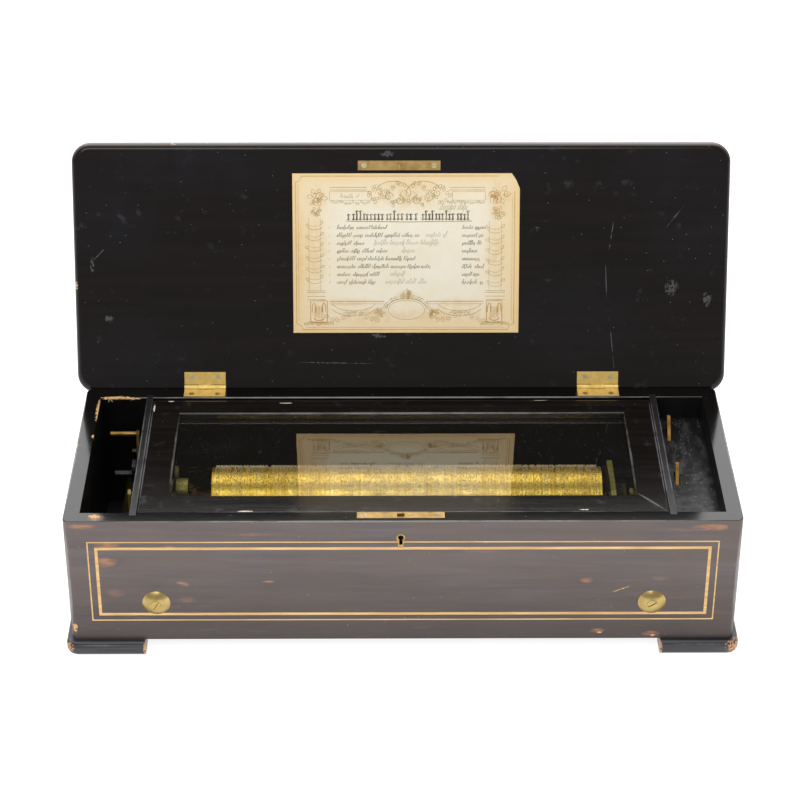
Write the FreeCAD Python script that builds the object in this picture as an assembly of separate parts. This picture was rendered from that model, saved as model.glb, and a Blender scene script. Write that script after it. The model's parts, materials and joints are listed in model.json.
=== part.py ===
import FreeCAD, Part
import math
import os

# Lever-wound cylinder musical box: lidded wooden case, glass inner lid, brass movement.
# Millimetres. While modelling, +X is right, -Y is the front, +Z is up, the case is centred
# on x = y = 0 and the feet stand on z = 0. At the end everything is moved in y so that the
# origin is the centre of the footprint of the whole object with its lid open.

# ---- case ----------------------------------------------------------------------------
case_w = 550.0           # outer width
case_d = 203.0           # outer depth
body_h = 119.0           # height of the walls
end_t = 13.0             # end boards
front_t = 13.0           # front board
back_t = 15.0            # back board, thicker because it carries the hinges
bottom_t = 10.0
corner_r = 5.5           # rounding of the upright corners
rim_r = 0.8              # worn arris around the rim

foot_h = 14.0
foot_out = 5.0           # how far the feet stand out past the walls
foot_len_x = 66.0
foot_len_y = 41.0
foot_wide = 20.0         # width of each arm of a foot under the case
foot_step = 2.6          # height of the small square step over the rounded moulding
foot_set = 1.6           # how far that step is set back

bay_w = 40.3             # clear width of the winding bay and of the lever bay
partition_t = 5.4
housing = 4.0            # partitions are let into the front and back boards by this much

# ---- front decoration ----------------------------------------------------------------
line_side = 18.3         # thin line, inset from the ends
line_top = 20.0
line_bottom = 19.4
line_w = 1.1
band_side = 24.4         # broad line inside it
band_top = 25.6
band_bottom = 24.8
band_w = 2.5
inlay_deep = 0.8
lock_x = -2.0            # the lock sits a little left of the middle
keyhole_z = 18.6         # centre of the keyhole, down from the rim
keyhole_h = 9.3
keyhole_w = 4.6
escutcheon_z = 19.6
escutcheon_h = 13.0
escutcheon_w = 7.4
escutcheon_t = 0.8

# ---- lock ----------------------------------------------------------------------------
lock_plate_l = 71.0
lock_plate_w = 8.2
lock_in = 0.2            # wood left between the plate and the inner face
lock_plate_t = 1.5
lock_body_l = 52.0
lock_body_w = 6.6
lock_body_h = 34.0
lock_wall = 0.9
lock_slot_l = 6.0        # the slot takes the link of the lid
lock_slot_w = 4.8
bolt_travel = 5.0
bolt_free = 0.3
link_t = 2.2
link_w = 3.8
link_h = 9.0
link_eye_r = 1.3
link_eye_down = 5.6      # middle of the eye below the face of the lid
finger_h = 1.4
finger_w = 1.2
bolt_post = 2.4

# ---- outer lid -----------------------------------------------------------------------
lid_t = 14.0
lid_out_side = 9.0
lid_out_front = 10.5
lid_out_back = 6.5
lid_corner_r = 17.0
lid_gap = 0.4            # closed lid over the rim
lid_edge_in = 6.0        # rounding of the inner edge
lid_edge_out = 6.5       # rounding of the outer edge
lid_lean = 19.5          # how far the open lid leans back
hinge_out = 1.0          # hinge pin behind the back board
hinge_x = 172.0
hinge_l = 36.0
leaf_t = 1.5
leaf_l = 14.0            # from the pin to the edge of a leaf
knuckle_r = 2.5
knuckle_free = 0.35
pin_r = 1.15
running_fit = 0.05
small_screw_r = 2.4
small_screw_deep = 1.4
small_shank_r = 1.2
small_shank_l = 8.0
slot_w = 0.6
slot_deep = 0.6
big_head_r = 3.0         # larger heads have a wider and deeper slot
big_slot_w = 0.9
big_slot_deep = 1.6
keeper_t = 1.4
card_w = 196.0
card_h = 139.5
card_x = 4.0
card_s = 49.0            # lower edge of the card, from the hinge pin
card_t = 0.4

# ---- glass lid -----------------------------------------------------------------------
glass_free = 0.6         # gap between the glass lid and the walls round it
frame_t = 10.0
frame_w = 24.5
frame_down = 0.4         # top of the frame below the rim
frame_edge_r = 1.6       # rounding round the glass
groove = 5.0             # the pane is held in a groove of the mitred members
groove_free = 0.1
glass_lip = 5.7          # from the top of the frame down to the glass
glass_t = 2.4
pivot_r = 1.6
pivot_in = 9.0
pivot_reach = 3.4

# ---- movement bed --------------------------------------------------------------------
bed_down = 81.5          # centre of the bedplate below the rim
bed_t = 8.0
bed_left_in = 20.0       # bedplate, from the left wall and from the right partition
bed_right_in = 5.3
bed_screw_left_in = 13.3 # its screws, from the glass side of the partitions
bed_screw_right_in = 11.3
cup_r = 11.5
cup_h = 4.4
cup_dish_r = 4.4
bed_head_r = 4.2
bed_head_t = 2.2
head_proud = 0.25        # domed screw head over the domed washer
bed_shank_r = 2.5
bed_shank_free = 0.5
bed_shank_in = 14.0

# ---- cylinder ------------------------------------------------------------------------
cyl_y = 4.0              # cylinder axis, from the middle of the case
cyl_up = 29.5            # cylinder axis above the bedplate
cyl_r = 25.4
cyl_wall = 1.8
cyl_left_in = 55.3       # ends of the cylinder, from the partitions
cyl_right_in = 47.5
cap_t = 4.0
arbor_r = 3.2
cyl_pin_h = 1.0          # height of the pins that the cylinder carries
bearing_in = 24.6        # left face of the left bearing, from the partition
bearing_t = 9.8
bearing_w = 20.0
bearing_top = 17.0       # above the cylinder axis
bearing_foot_t = 5.0
right_gap = 8.1          # from the cylinder to the right bearing, the wheel runs in it
right_t = 4.6
right_top = 12.0
right_back = 37.0        # how far the right bearing reaches behind the axis
right_front = 14.0
snail_r = 8.6            # stepped cam beside the cylinder, one step for each tune
snail_steps = 6
snail_rise = 1.1
snail_free = 0.8
star_r = 10.4
star_teeth = 12
star_t = 3.0
bed_screw_head_r = 3.6
bed_screw_head_t = 2.4

# ---- drive ---------------------------------------------------------------------------
drive_module = 1.106
pinion_teeth = 16
wheel_teeth = 48
barrel_r = 24.0
barrel_len = 21.0
barrel_wall = 1.6
wheel_t = 3.6
wheel_in = 15.7          # left face of the great wheel, from the partition
wheel_gap = 0.08         # backlash, as a share of the module
winding_r = 3.4
winding_in = 14.2        # end of the winding arbor, from the left wall
cock_t = 3.2
cock_free = 0.6
notch_free = 2.2         # round the barrel, in the partition
ratchet_teeth = 24
ratchet_r = 13.0
ratchet_deep = 1.7
ratchet_t = 3.4
lever_t = 2.4
lever_back = 20.9        # lean of the winding lever at rest, backwards
lever_len = 35.3
handle_r = 2.2
handle_len = 25.5
click_free = 0.35

# ---- governor ------------------------------------------------------------------------
gov_module = 0.6
gov_wheel_teeth = 84
gov_pinion_teeth = 12
gov_angle = 190.0        # direction of the governor arbor from the cylinder axis
gov_wheel_t = 2.6
gov_arbor_r = 1.3
worm_module = 0.5
worm_wheel_teeth = 24
worm_r = 1.9
worm_wheel_t = 1.6
worm_turns = 5.0
worm_backlash = 0.3
gov_plate_t = 2.6
fan_w = 11.0
fan_h = 8.0
fan_t = 0.4

# ---- comb ----------------------------------------------------------------------------
comb_t = 3.0
tooth_t = 1.7
tooth_pitch = 3.3
tooth_gap = 0.8
tooth_l_bass = 40.0
tooth_l_treble = 30.0
comb_heel = 20.0
tip_free = 0.5
comb_screws = 10

# ---- levers of the right bay ---------------------------------------------------------
board_down = 22.0        # control board below the rim
board_t = 5.0
lever_in = 15.6          # middle of the two blades, from the glass side of the partition
blade_t = 2.8
blade_free = 0.8         # slot in the board round a blade
blade_y = (61.0, -6.8)   # where the blades come out of the board
blade_lean = (41.0, 34.0)
blade_up = (14.5, 11.0)  # length of blade above the board, along its lean
stud_r = 1.6             # pivot stud of a blade
stud_collar_r = 3.0
stud_free = 0.6          # collar below the underside of the board
blade_w = 5.6

# ---- derived places ------------------------------------------------------------------
rim_z = foot_h + body_h
half_w = case_w / 2.0
front_y = -case_d / 2.0
back_y = case_d / 2.0
inner_x = half_w - end_t
inner_front = front_y + front_t
inner_back = back_y - back_t
floor_z = foot_h + bottom_t
partition_x = inner_x - bay_w - partition_t      # glass-side face of a partition
bed_mid_z = rim_z - bed_down
bed_top = bed_mid_z + bed_t / 2.0
bed_left = inner_x - bed_left_in
bed_right = partition_x - bed_right_in
bed_screw_left = partition_x - bed_screw_left_in
bed_screw_right = partition_x - bed_screw_right_in
bed_low = bed_mid_z - bed_t / 2.0
cyl_z = bed_top + cyl_up
cyl_x0 = cyl_left_in - partition_x
cyl_x1 = partition_x - cyl_right_in
cyl_len = cyl_x1 - cyl_x0
pin_tip_r = cyl_r + cyl_pin_h
cup_sphere_r = (cup_r ** 2 + cup_h ** 2) / (2 * cup_h)
head_seat = cup_h - bed_head_t + 0.5             # underside of the head, off the board
pinion_pitch = drive_module * pinion_teeth / 2.0
wheel_pitch = drive_module * wheel_teeth / 2.0
barrel_z = cyl_z
barrel_y = cyl_y + pinion_pitch + wheel_pitch
bearing_x = bearing_in - partition_x
wheel_x = wheel_in - partition_x
wheel_x1 = wheel_x + wheel_t
barrel_x0 = wheel_x - barrel_len
winding_end = winding_in - inner_x
lever_x = partition_x + lever_in
left_cock_x = barrel_x0 - cock_free - cock_t
lever_x1 = left_cock_x - cock_free
lever_x0 = lever_x1 - lever_t
ratchet_x1 = lever_x0 - cock_free
ratchet_x0 = ratchet_x1 - ratchet_t
lid_axis_y = back_y + hinge_out
lid_axis_z = rim_z + lid_gap / 2.0
lid_angle = 90.0 + lid_lean
frame_top = rim_z - frame_down
pivot_z = frame_top - frame_t / 2.0
pivot_y = inner_back - glass_free - frame_t / 2.0
right_x0 = cyl_x1 + right_gap
right_x1 = right_x0 + right_t
gov_dist = gov_module * (gov_wheel_teeth + gov_pinion_teeth) / 2.0
gov_y = cyl_y + gov_dist * math.cos(math.radians(gov_angle))
gov_z = cyl_z + gov_dist * math.sin(math.radians(gov_angle))
gov_wheel_x = cyl_x1 + right_gap / 2.0
gov_x0 = right_x1 + 3.0                          # left plate of the governor
gov_x1 = gov_x0 + 16.0                           # right plate of the governor
worm_x = (gov_x0 + gov_x1 + gov_plate_t) / 2.0
worm_pitch_r = worm_module * worm_wheel_teeth / 2.0
worm_y = gov_y - worm_pitch_r - worm_r
comb_mid_z = cyl_z
tip_y = cyl_y - pin_tip_r - tip_free
board_z = rim_z - board_down
stud_z = board_z - board_t - stud_collar_r - stud_free
link_eye_z = rim_z + lid_gap - link_eye_down
lock_y = inner_front - lock_plate_w / 2.0 - lock_in
X_AXIS = FreeCAD.Vector(1, 0, 0)
Y_AXIS = FreeCAD.Vector(0, 1, 0)
Z_AXIS = FreeCAD.Vector(0, 0, 1)


def vec(x, y, z):
    return FreeCAD.Vector(x, y, z)


def block(x0, x1, y0, y1, z0, z1):
    """Box between two corners."""
    return Part.makeBox(x1 - x0, y1 - y0, z1 - z0, vec(x0, y0, z0))


def rod(start, axis, length, radius):
    return Part.makeCylinder(radius, length, start, axis)


def rod_x(x0, x1, y, z, radius):
    return rod(vec(x0, y, z), X_AXIS, x1 - x0, radius)


def rod_y(y0, y1, x, z, radius):
    return rod(vec(x, y0, z), Y_AXIS, y1 - y0, radius)


def rod_z(z0, z1, x, y, radius):
    return rod(vec(x, y, z0), Z_AXIS, z1 - z0, radius)


def prism(points, step):
    """Flat outline of 3-D points pushed along a step."""
    return Part.Face(Part.makePolygon(points + points[:1])).extrude(step)


def plate_x(outline, x0, x1):
    """Outline of (y, z) pairs as a plate between two x values."""
    return prism([vec(x0, y, z) for y, z in outline], vec(x1 - x0, 0, 0))


def edges_where(shape, test):
    return [e for e in shape.Edges if test(e)]


def along(edge, axis):
    """True for a straight edge that runs along an axis."""
    a = edge.Vertexes[0].Point
    b = edge.Vertexes[-1].Point
    return len(edge.Vertexes) == 2 and abs(abs((b - a).normalize().dot(axis)) - 1.0) < 1e-6


def at_level(edge, z):
    box = edge.BoundBox
    return abs(box.ZMin - z) < 1e-6 and abs(box.ZMax - z) < 1e-6


def together(shapes):
    """Separate solids that share one node."""
    return Part.makeCompound(shapes)


def fuse(shapes):
    joined = shapes[0].fuse(shapes[1:])
    return joined.removeSplitter()


# ---- screws --------------------------------------------------------------------------
def screw(place, out, head_r, head_t, shank_r, shank_l, slot_turn, sunk):
    """Slotted screw. place is the middle of the head's face, out points away from the work.

    sunk gives a countersunk head, otherwise it is a cheese head that stands on the work.
    """
    low = -head_t
    if sunk:
        head = Part.makeCone(shank_r, head_r, head_t, vec(0, 0, low))
    else:
        head = Part.makeCylinder(head_r, head_t, vec(0, 0, low))
    shank = Part.makeCylinder(shank_r, shank_l, vec(0, 0, low - shank_l))
    width, deep = (slot_w, slot_deep) if head_r < big_head_r else (big_slot_w, big_slot_deep)
    cut = block(-head_r, head_r, -width / 2, width / 2, -deep, 1.0)
    cut.rotate(vec(0, 0, 0), Z_AXIS, slot_turn)
    solid = head.fuse(shank).removeSplitter().cut(cut)
    turn = FreeCAD.Rotation(Z_AXIS, out)
    solid.Placement = FreeCAD.Placement(place, turn)
    return solid


def sunk_hole(place, out, head_r, head_t, shank_r, shank_l):
    """Room for a countersunk screw."""
    tool = Part.makeCone(shank_r, head_r, head_t, vec(0, 0, -head_t))
    tool = tool.fuse(Part.makeCylinder(shank_r, shank_l, vec(0, 0, -head_t - shank_l)))
    tool = tool.fuse(Part.makeCylinder(head_r, 2.0, vec(0, 0, 0)))
    tool.Placement = FreeCAD.Placement(place, FreeCAD.Rotation(Z_AXIS, out))
    return tool


# ---- gears ---------------------------------------------------------------------------
def gear_outline(teeth, module, backlash, turn_deg, steps=4):
    """(u, v) outline of an involute spur gear with a tooth centred on turn_deg."""
    pitch_r = module * teeth / 2.0
    pressure = math.radians(20.0)
    base_r = pitch_r * math.cos(pressure)
    tip_r = pitch_r + module
    root_r = pitch_r - 1.25 * module
    half = math.pi / (2 * teeth) - backlash * module / (2 * pitch_r)
    inv_pitch = math.tan(pressure) - pressure

    def half_angle(radius):
        if radius <= base_r:
            return half + inv_pitch
        angle = math.acos(base_r / radius)
        return half + inv_pitch - (math.tan(angle) - angle)

    low_r = max(root_r, base_r)
    radii = [low_r + (tip_r - low_r) * i / (steps - 1.0) for i in range(steps)]
    if low_r > root_r:
        radii = [root_r] + radii
    flank = [(r, half_angle(r)) for r in radii]
    points = []
    for tooth in range(teeth):
        middle = math.radians(turn_deg) + 2 * math.pi * tooth / teeth
        for r, a in flank:
            points.append((r * math.cos(middle - a), r * math.sin(middle - a)))
        for r, a in reversed(flank):
            points.append((r * math.cos(middle + a), r * math.sin(middle + a)))
    return points


def gear_x(teeth, module, y, z, x0, x1, turn_deg, bore):
    outline = gear_outline(teeth, module, wheel_gap, turn_deg)
    solid = plate_x([(y + u, z + v) for u, v in outline], x0, x1)
    return solid.cut(rod_x(x0 - 1, x1 + 1, y, z, bore))


def spokes_x(y, z, x0, x1, hub_r, rim_in, count):
    """Sector windows that leave a crossed-out wheel."""
    ring = rod_x(x0 - 1, x1 + 1, y, z, rim_in).cut(rod_x(x0 - 1, x1 + 1, y, z, hub_r))
    arm = 0.18 * rim_in
    for i in range(count):
        bar = block(x0 - 1, x1 + 1, y, y + rim_in, z - arm / 2, z + arm / 2)
        bar.rotate(vec(0, y, z), X_AXIS, 360.0 * i / count + 20.0)
        ring = ring.cut(bar)
    return ring


# ---- case ----------------------------------------------------------------------------
def partition_slot(x0, y0, y1):
    return block(x0, x0 + partition_t, y0, y1, floor_z, rim_z + 1)


def partition_slots(y0, y1):
    return [partition_slot(-partition_x - partition_t, y0, y1), partition_slot(partition_x, y0, y1)]


def keyhole(cx, z, wide, high, y0, y1):
    """Round top with a tapered lower part."""
    r = wide / 2.0
    top = rod_y(y0, y1, cx, z + high / 2 - r, r)
    narrow = 0.62 * r
    lower = [(cx - narrow * 0.9, z + high / 2 - r), (cx + narrow * 0.9, z + high / 2 - r),
             (cx + narrow, z - high / 2), (cx - narrow, z - high / 2)]
    return top.fuse(prism([vec(x, y0, zz) for x, zz in lower], vec(0, y1 - y0, 0)))


def ring_tool(side, top, bottom, width, deep):
    """Rectangular line let into the front."""
    outer = block(-half_w + side, half_w - side, front_y, front_y + deep,
                  foot_h + bottom, rim_z - top)
    inner = block(-half_w + side + width, half_w - side - width, front_y - 1, front_y + deep + 1,
                  foot_h + bottom + width, rim_z - top - width)
    return outer.cut(inner)


def bed_screw_places():
    """(x, y of the outer face, outward direction) for the four bed screws."""
    return [(-bed_screw_left, front_y, -1), (bed_screw_right, front_y, -1),
            (-bed_screw_left, back_y, 1), (bed_screw_right, back_y, 1)]


def bed_screw_holes():
    holes = []
    for x, y, out in bed_screw_places():
        y0, y1 = sorted((y + out, y - out * 30.0))
        holes.append(rod_y(y0, y1, x, bed_mid_z, bed_shank_r + bed_shank_free))
    return holes


def lock_room():
    y = lock_y
    plate = block(lock_x - lock_plate_l / 2, lock_x + lock_plate_l / 2,
                  y - lock_plate_w / 2, y + lock_plate_w / 2, rim_z - lock_plate_t, rim_z + 1)
    body = block(lock_x - lock_body_l / 2, lock_x + lock_body_l / 2,
                 y - lock_body_w / 2, y + lock_body_w / 2, rim_z - lock_body_h, rim_z)
    return plate.fuse(body)


def front_board():
    board = block(-inner_x, inner_x, front_y, inner_front, foot_h, rim_z)
    top = edges_where(board, lambda e: at_level(e, rim_z) and along(e, X_AXIS))
    board = board.makeFillet(rim_r, top)
    cuts = partition_slots(inner_front - housing, inner_front + 1)
    cuts += bed_screw_holes()
    cuts.append(lock_room())
    cuts.append(keyhole(lock_x, rim_z - keyhole_z, keyhole_w, keyhole_h, front_y - 1,
                        lock_y))
    cuts.append(keyhole(lock_x, rim_z - escutcheon_z, escutcheon_w, escutcheon_h, front_y - 1,
                        front_y + escutcheon_t))
    cuts.append(ring_tool(line_side, line_top, line_bottom, line_w, inlay_deep))
    cuts.append(ring_tool(band_side, band_top, band_bottom, band_w, inlay_deep))
    for x, y, z in lock_screw_places():
        cuts.append(sunk_hole(vec(x, y, z), Z_AXIS, small_screw_r, small_screw_deep,
                              small_shank_r, small_shank_l))
    return board.cut(cuts)


def back_board():
    board = block(-inner_x, inner_x, inner_back, back_y, foot_h, rim_z)
    top = edges_where(board, lambda e: at_level(e, rim_z) and along(e, X_AXIS))
    board = board.makeFillet(rim_r, top)
    cuts = partition_slots(inner_back - 1, inner_back + housing)
    cuts += bed_screw_holes()
    for cx in (-hinge_x, hinge_x):
        cuts.append(block(cx - hinge_l / 2, cx + hinge_l / 2, lid_axis_y - leaf_l, back_y + 5,
                          rim_z - leaf_t, rim_z + 1))
        cuts.append(rod_x(cx - hinge_l / 2, cx + hinge_l / 2, lid_axis_y, lid_axis_z,
                          knuckle_r + knuckle_free))
    for x, y in hinge_screw_places():
        cuts.append(sunk_hole(vec(x, y, rim_z), Z_AXIS, small_screw_r, small_screw_deep,
                              small_shank_r, small_shank_l))
    return board.cut(cuts)


def end_board(side):
    x0, x1 = sorted((side * inner_x, side * half_w))
    board = block(x0, x1, front_y, back_y, foot_h, rim_z)
    upright = edges_where(board, lambda e: along(e, Z_AXIS)
                          and abs(e.Vertexes[0].X - side * half_w) < 1e-6)
    board = board.makeFillet(corner_r, upright)
    top = edges_where(board, lambda e: at_level(e, rim_z) and along(e, Y_AXIS)
                      and abs(e.Vertexes[0].X - side * half_w) < 1e-6)
    return board.makeFillet(rim_r, top)


def bottom_board():
    return block(-inner_x, inner_x, inner_front, inner_back, foot_h, floor_z)


def foot(side_x, side_y):
    """Corner foot: two moulded arms that meet in a rounded corner."""
    ox = side_x * (half_w + foot_out)
    oy = side_y * (case_d / 2.0 + foot_out)
    sx = -side_x
    sy = -side_y

    def arms(inset, z0, z1):
        a0 = ox + sx * inset
        b0 = oy + sy * inset
        xs = sorted((a0, ox + sx * foot_len_x))
        ys = sorted((b0, oy + sy * foot_wide))
        long_arm = block(xs[0], xs[1], ys[0], ys[1], z0, z1)
        xs = sorted((a0, ox + sx * foot_wide))
        ys = sorted((b0, oy + sy * foot_len_y))
        body = long_arm.fuse(block(xs[0], xs[1], ys[0], ys[1], z0, z1)).removeSplitter()
        corner = edges_where(body, lambda e: along(e, Z_AXIS) and abs(e.Vertexes[0].X - a0) < 1e-6
                             and abs(e.Vertexes[0].Y - b0) < 1e-6)
        return body.makeFillet(corner_r + foot_out - inset, corner)

    split = foot_h - foot_step
    lower = arms(0.0, 0.0, split)

    def outside(e):
        box = e.BoundBox
        flat = at_level(e, 0.0) or at_level(e, split)
        if not flat:
            return False
        on_x = abs(box.XMin - ox) < 1e-6 and abs(box.XMax - ox) < 1e-6
        on_y = abs(box.YMin - oy) < 1e-6 and abs(box.YMax - oy) < 1e-6
        return on_x or on_y or len(e.Vertexes) == 2 and not along(e, X_AXIS) and not along(e, Y_AXIS)

    upper_edges = edges_where(lower, lambda e: outside(e) and at_level(e, split))
    lower = lower.makeFillet(3.0, upper_edges)
    low_edges = edges_where(lower, lambda e: outside(e) and at_level(e, 0.0))
    lower = lower.makeFillet(4.5, low_edges)
    return lower.fuse(arms(foot_set, split, foot_h)).removeSplitter()


def left_partition():
    x1 = -partition_x
    x0 = x1 - partition_t
    y0 = inner_front - housing
    y1 = inner_back + housing
    board = block(x0, x1, y0, y1, bed_top, rim_z)
    round_r = barrel_r + notch_free
    notch = rod_x(x0 - 1, x1 + 1, barrel_y, barrel_z, round_r)
    notch = notch.fuse(block(x0 - 1, x1 + 1, barrel_y - round_r, barrel_y + round_r,
                             bed_top - 1, barrel_z))
    return board.cut([notch, glass_pivot_hole(x0, x1)])


def right_partition():
    x0 = partition_x
    x1 = x0 + partition_t
    board = block(x0, x1, inner_front - housing, inner_back + housing, floor_z, rim_z)
    return board.cut([glass_pivot_hole(x0, x1)])


def glass_pivot_hole(x0, x1):
    return rod_x(x0 - 1, x1 + 1, pivot_y, pivot_z, pivot_r + running_fit)


def control_board():
    x0 = partition_x + partition_t
    board = block(x0, inner_x, inner_front, inner_back, board_z - board_t, board_z)
    for y, lean in zip(blade_y, blade_lean):
        reach = 6.0 + blade_w / 2.0
        half = blade_t / 2.0 + blade_free
        board = board.cut(block(lever_x - half, lever_x + half, y - reach - 2.0, y + reach,
                                board_z - board_t - 1, board_z + 1))
    return board


# ---- lock ----------------------------------------------------------------------------
def lock_screw_places():
    y = lock_y
    return [(lock_x - 30.0, y, rim_z), (lock_x + 30.0, y, rim_z)]


def lock():
    """Top plate and its thin case, with a slot for the link of the lid."""
    y = lock_y
    plate = block(lock_x - lock_plate_l / 2, lock_x + lock_plate_l / 2,
                  y - lock_plate_w / 2, y + lock_plate_w / 2, rim_z - lock_plate_t, rim_z)
    shell = block(lock_x - lock_body_l / 2, lock_x + lock_body_l / 2,
                  y - lock_body_w / 2, y + lock_body_w / 2, rim_z - lock_body_h, rim_z - lock_plate_t)
    hollow = block(lock_x - lock_body_l / 2 + lock_wall, lock_x + lock_body_l / 2 - lock_wall,
                   y - lock_body_w / 2 + lock_wall, y + lock_body_w / 2 - lock_wall,
                   rim_z - lock_body_h + lock_wall, rim_z - lock_plate_t)
    slot = block(lock_x - lock_slot_l / 2, lock_x + lock_slot_l / 2,
                 y - lock_slot_w / 2, y + lock_slot_w / 2, rim_z - lock_plate_t - 1, rim_z + 1)
    cuts = [hollow, slot]
    cuts.append(keyhole(lock_x, rim_z - keyhole_z, keyhole_w, keyhole_h, front_y, y))
    for x, yy, z in lock_screw_places():
        cuts.append(sunk_hole(vec(x, yy, z), Z_AXIS, small_screw_r, small_screw_deep,
                              small_shank_r, small_shank_l))
    return plate.fuse(shell).removeSplitter().cut(cuts)


def lock_bolt():
    """Bar with a finger that reaches through the link when it is thrown."""
    y = lock_y
    half_y = lock_body_w / 2 - lock_wall - bolt_free
    z1 = rim_z + lid_gap - link_h - 2.0
    bar = block(lock_x - 20.0, lock_x + 15.0, y - half_y, y + half_y, z1 - 6.0, z1)
    parts = [bar]
    y0 = y - finger_w / 2
    y1 = y + finger_w / 2
    link_x0 = lock_x - link_t / 2
    post_x1 = link_x0 - bolt_free - bolt_travel
    parts.append(block(post_x1 - bolt_post, post_x1, y0, y1, z1 - 1.0, link_eye_z + finger_h / 2))
    parts.append(block(post_x1 - bolt_post, link_x0 - bolt_free, y0, y1,
                       link_eye_z - finger_h / 2, link_eye_z + finger_h / 2))
    return fuse(parts)


def escutcheon():
    rim = keyhole(lock_x, rim_z - escutcheon_z, escutcheon_w, escutcheon_h,
                  front_y, front_y + escutcheon_t)
    return rim.cut(keyhole(lock_x, rim_z - keyhole_z, keyhole_w, keyhole_h, front_y - 1,
                           front_y + front_t))


def stringing():
    """Thin line and broad band of pale wood, both stopped at the escutcheon."""
    room = keyhole(lock_x, rim_z - escutcheon_z, escutcheon_w, escutcheon_h, front_y - 1,
                   front_y + inlay_deep + 1)
    line = ring_tool(line_side, line_top, line_bottom, line_w, inlay_deep)
    band = ring_tool(band_side, band_top, band_bottom, band_w, inlay_deep)
    cuts = [room] + bed_screw_holes()
    return together([line.cut(cuts), band.cut(cuts)])


# ---- hinges and lid ------------------------------------------------------------------
def hinge_screw_places():
    return [(cx + dx, lid_axis_y - leaf_l / 2.0 - 2.4)
            for cx in (-hinge_x, hinge_x) for dx in (-hinge_l / 3.2, hinge_l / 3.2)]


def opened(shape):
    """Turn a piece of the closed lid to the open rest position."""
    shape.rotate(vec(0, lid_axis_y, lid_axis_z), X_AXIS, -lid_angle)
    return shape


def hinge_leaf(cx, on_lid):
    """One leaf with its knuckles, in the closed position."""
    third = hinge_l / 3.0
    side = 0.15
    if on_lid:
        z0 = rim_z + lid_gap
        spans = [(cx - third / 2 + side, cx + third / 2 - side)]
        bore = pin_r + running_fit
    else:
        z0 = rim_z - leaf_t
        spans = [(cx - hinge_l / 2, cx - third / 2), (cx + third / 2, cx + hinge_l / 2)]
        bore = pin_r
    leaf = block(cx - hinge_l / 2, cx + hinge_l / 2, lid_axis_y - leaf_l,
                 lid_axis_y - knuckle_r - knuckle_free, z0, z0 + leaf_t)
    parts = [leaf]
    for x0, x1 in spans:
        web = block(x0, x1, lid_axis_y - knuckle_r - knuckle_free - 0.5, lid_axis_y - pin_r - 0.4,
                    z0, z0 + leaf_t)
        parts.append(web)
        parts.append(rod_x(x0, x1, lid_axis_y, lid_axis_z, knuckle_r))
    leaf = fuse(parts)
    other_z = lid_axis_z
    if on_lid:
        keep = block(cx - hinge_l, cx + hinge_l, lid_axis_y - leaf_l - 1, lid_axis_y - knuckle_r,
                     other_z - 5, z0)
    else:
        keep = block(cx - hinge_l, cx + hinge_l, lid_axis_y - leaf_l - 1, lid_axis_y - knuckle_r,
                     rim_z, other_z + 5)
    cuts = [keep, rod_x(cx - hinge_l, cx + hinge_l, lid_axis_y, lid_axis_z, bore)]
    out = FreeCAD.Vector(0, 0, -1) if on_lid else Z_AXIS
    face = z0 if on_lid else rim_z
    for x, y in hinge_screw_places():
        if abs(x - cx) < hinge_l:
            cuts.append(sunk_hole(vec(x, y, face), out, small_screw_r, small_screw_deep,
                                  small_shank_r, small_shank_l))
    return leaf.cut(cuts)


def lid_board():
    x1 = half_w + lid_out_side
    y0 = front_y - lid_out_front
    y1 = back_y + lid_out_back
    z0 = rim_z + lid_gap
    board = block(-x1, x1, y0, y1, z0, z0 + lid_t)
    board = board.makeFillet(lid_corner_r, edges_where(board, lambda e: along(e, Z_AXIS)))
    board = board.makeFillet(lid_edge_in, edges_where(board, lambda e: at_level(e, z0)))
    board = board.makeFillet(lid_edge_out, edges_where(board, lambda e: at_level(e, z0 + lid_t)))
    cuts = []
    for cx in (-hinge_x, hinge_x):
        cuts.append(block(cx - hinge_l / 2, cx + hinge_l / 2, lid_axis_y - leaf_l, y1 + 1,
                          z0 - 1, z0 + leaf_t))
        cuts.append(rod_x(cx - hinge_l / 2, cx + hinge_l / 2, lid_axis_y, lid_axis_z,
                          knuckle_r + knuckle_free))
    for x, y in hinge_screw_places():
        cuts.append(sunk_hole(vec(x, y, z0), FreeCAD.Vector(0, 0, -1), small_screw_r,
                              small_screw_deep, small_shank_r, small_shank_l))
    cuts.append(keeper_plate_block())
    for x, y in keeper_screw_places():
        cuts.append(sunk_hole(vec(x, y, z0), FreeCAD.Vector(0, 0, -1), small_screw_r,
                              small_screw_deep, small_shank_r, small_shank_l))
    return opened(board.cut(cuts))


def keeper_plate_block():
    y = lock_y
    z0 = rim_z + lid_gap
    return block(lock_x - lock_plate_l / 2, lock_x + lock_plate_l / 2,
                 y - lock_plate_w / 2, y + lock_plate_w / 2, z0, z0 + keeper_t)


def keeper_screw_places():
    y = lock_y
    return [(lock_x - 30.0, y), (lock_x + 30.0, y)]


def lid_keeper():
    """Plate let into the lid with a pierced link that drops into the lock."""
    y = lock_y
    z0 = rim_z + lid_gap
    parts = [keeper_plate_block()]
    parts.append(block(lock_x - link_t / 2, lock_x + link_t / 2, y - link_w / 2, y + link_w / 2,
                       z0 - link_h, z0 + keeper_t / 2))
    cuts = [rod_x(lock_x - link_t, lock_x + link_t, y, link_eye_z, link_eye_r)]
    plate = fuse(parts)
    for x, yy in keeper_screw_places():
        cuts.append(sunk_hole(vec(x, yy, z0), FreeCAD.Vector(0, 0, -1), small_screw_r,
                              small_screw_deep, small_shank_r, small_shank_l))
    return opened(plate.cut(cuts))


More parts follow.
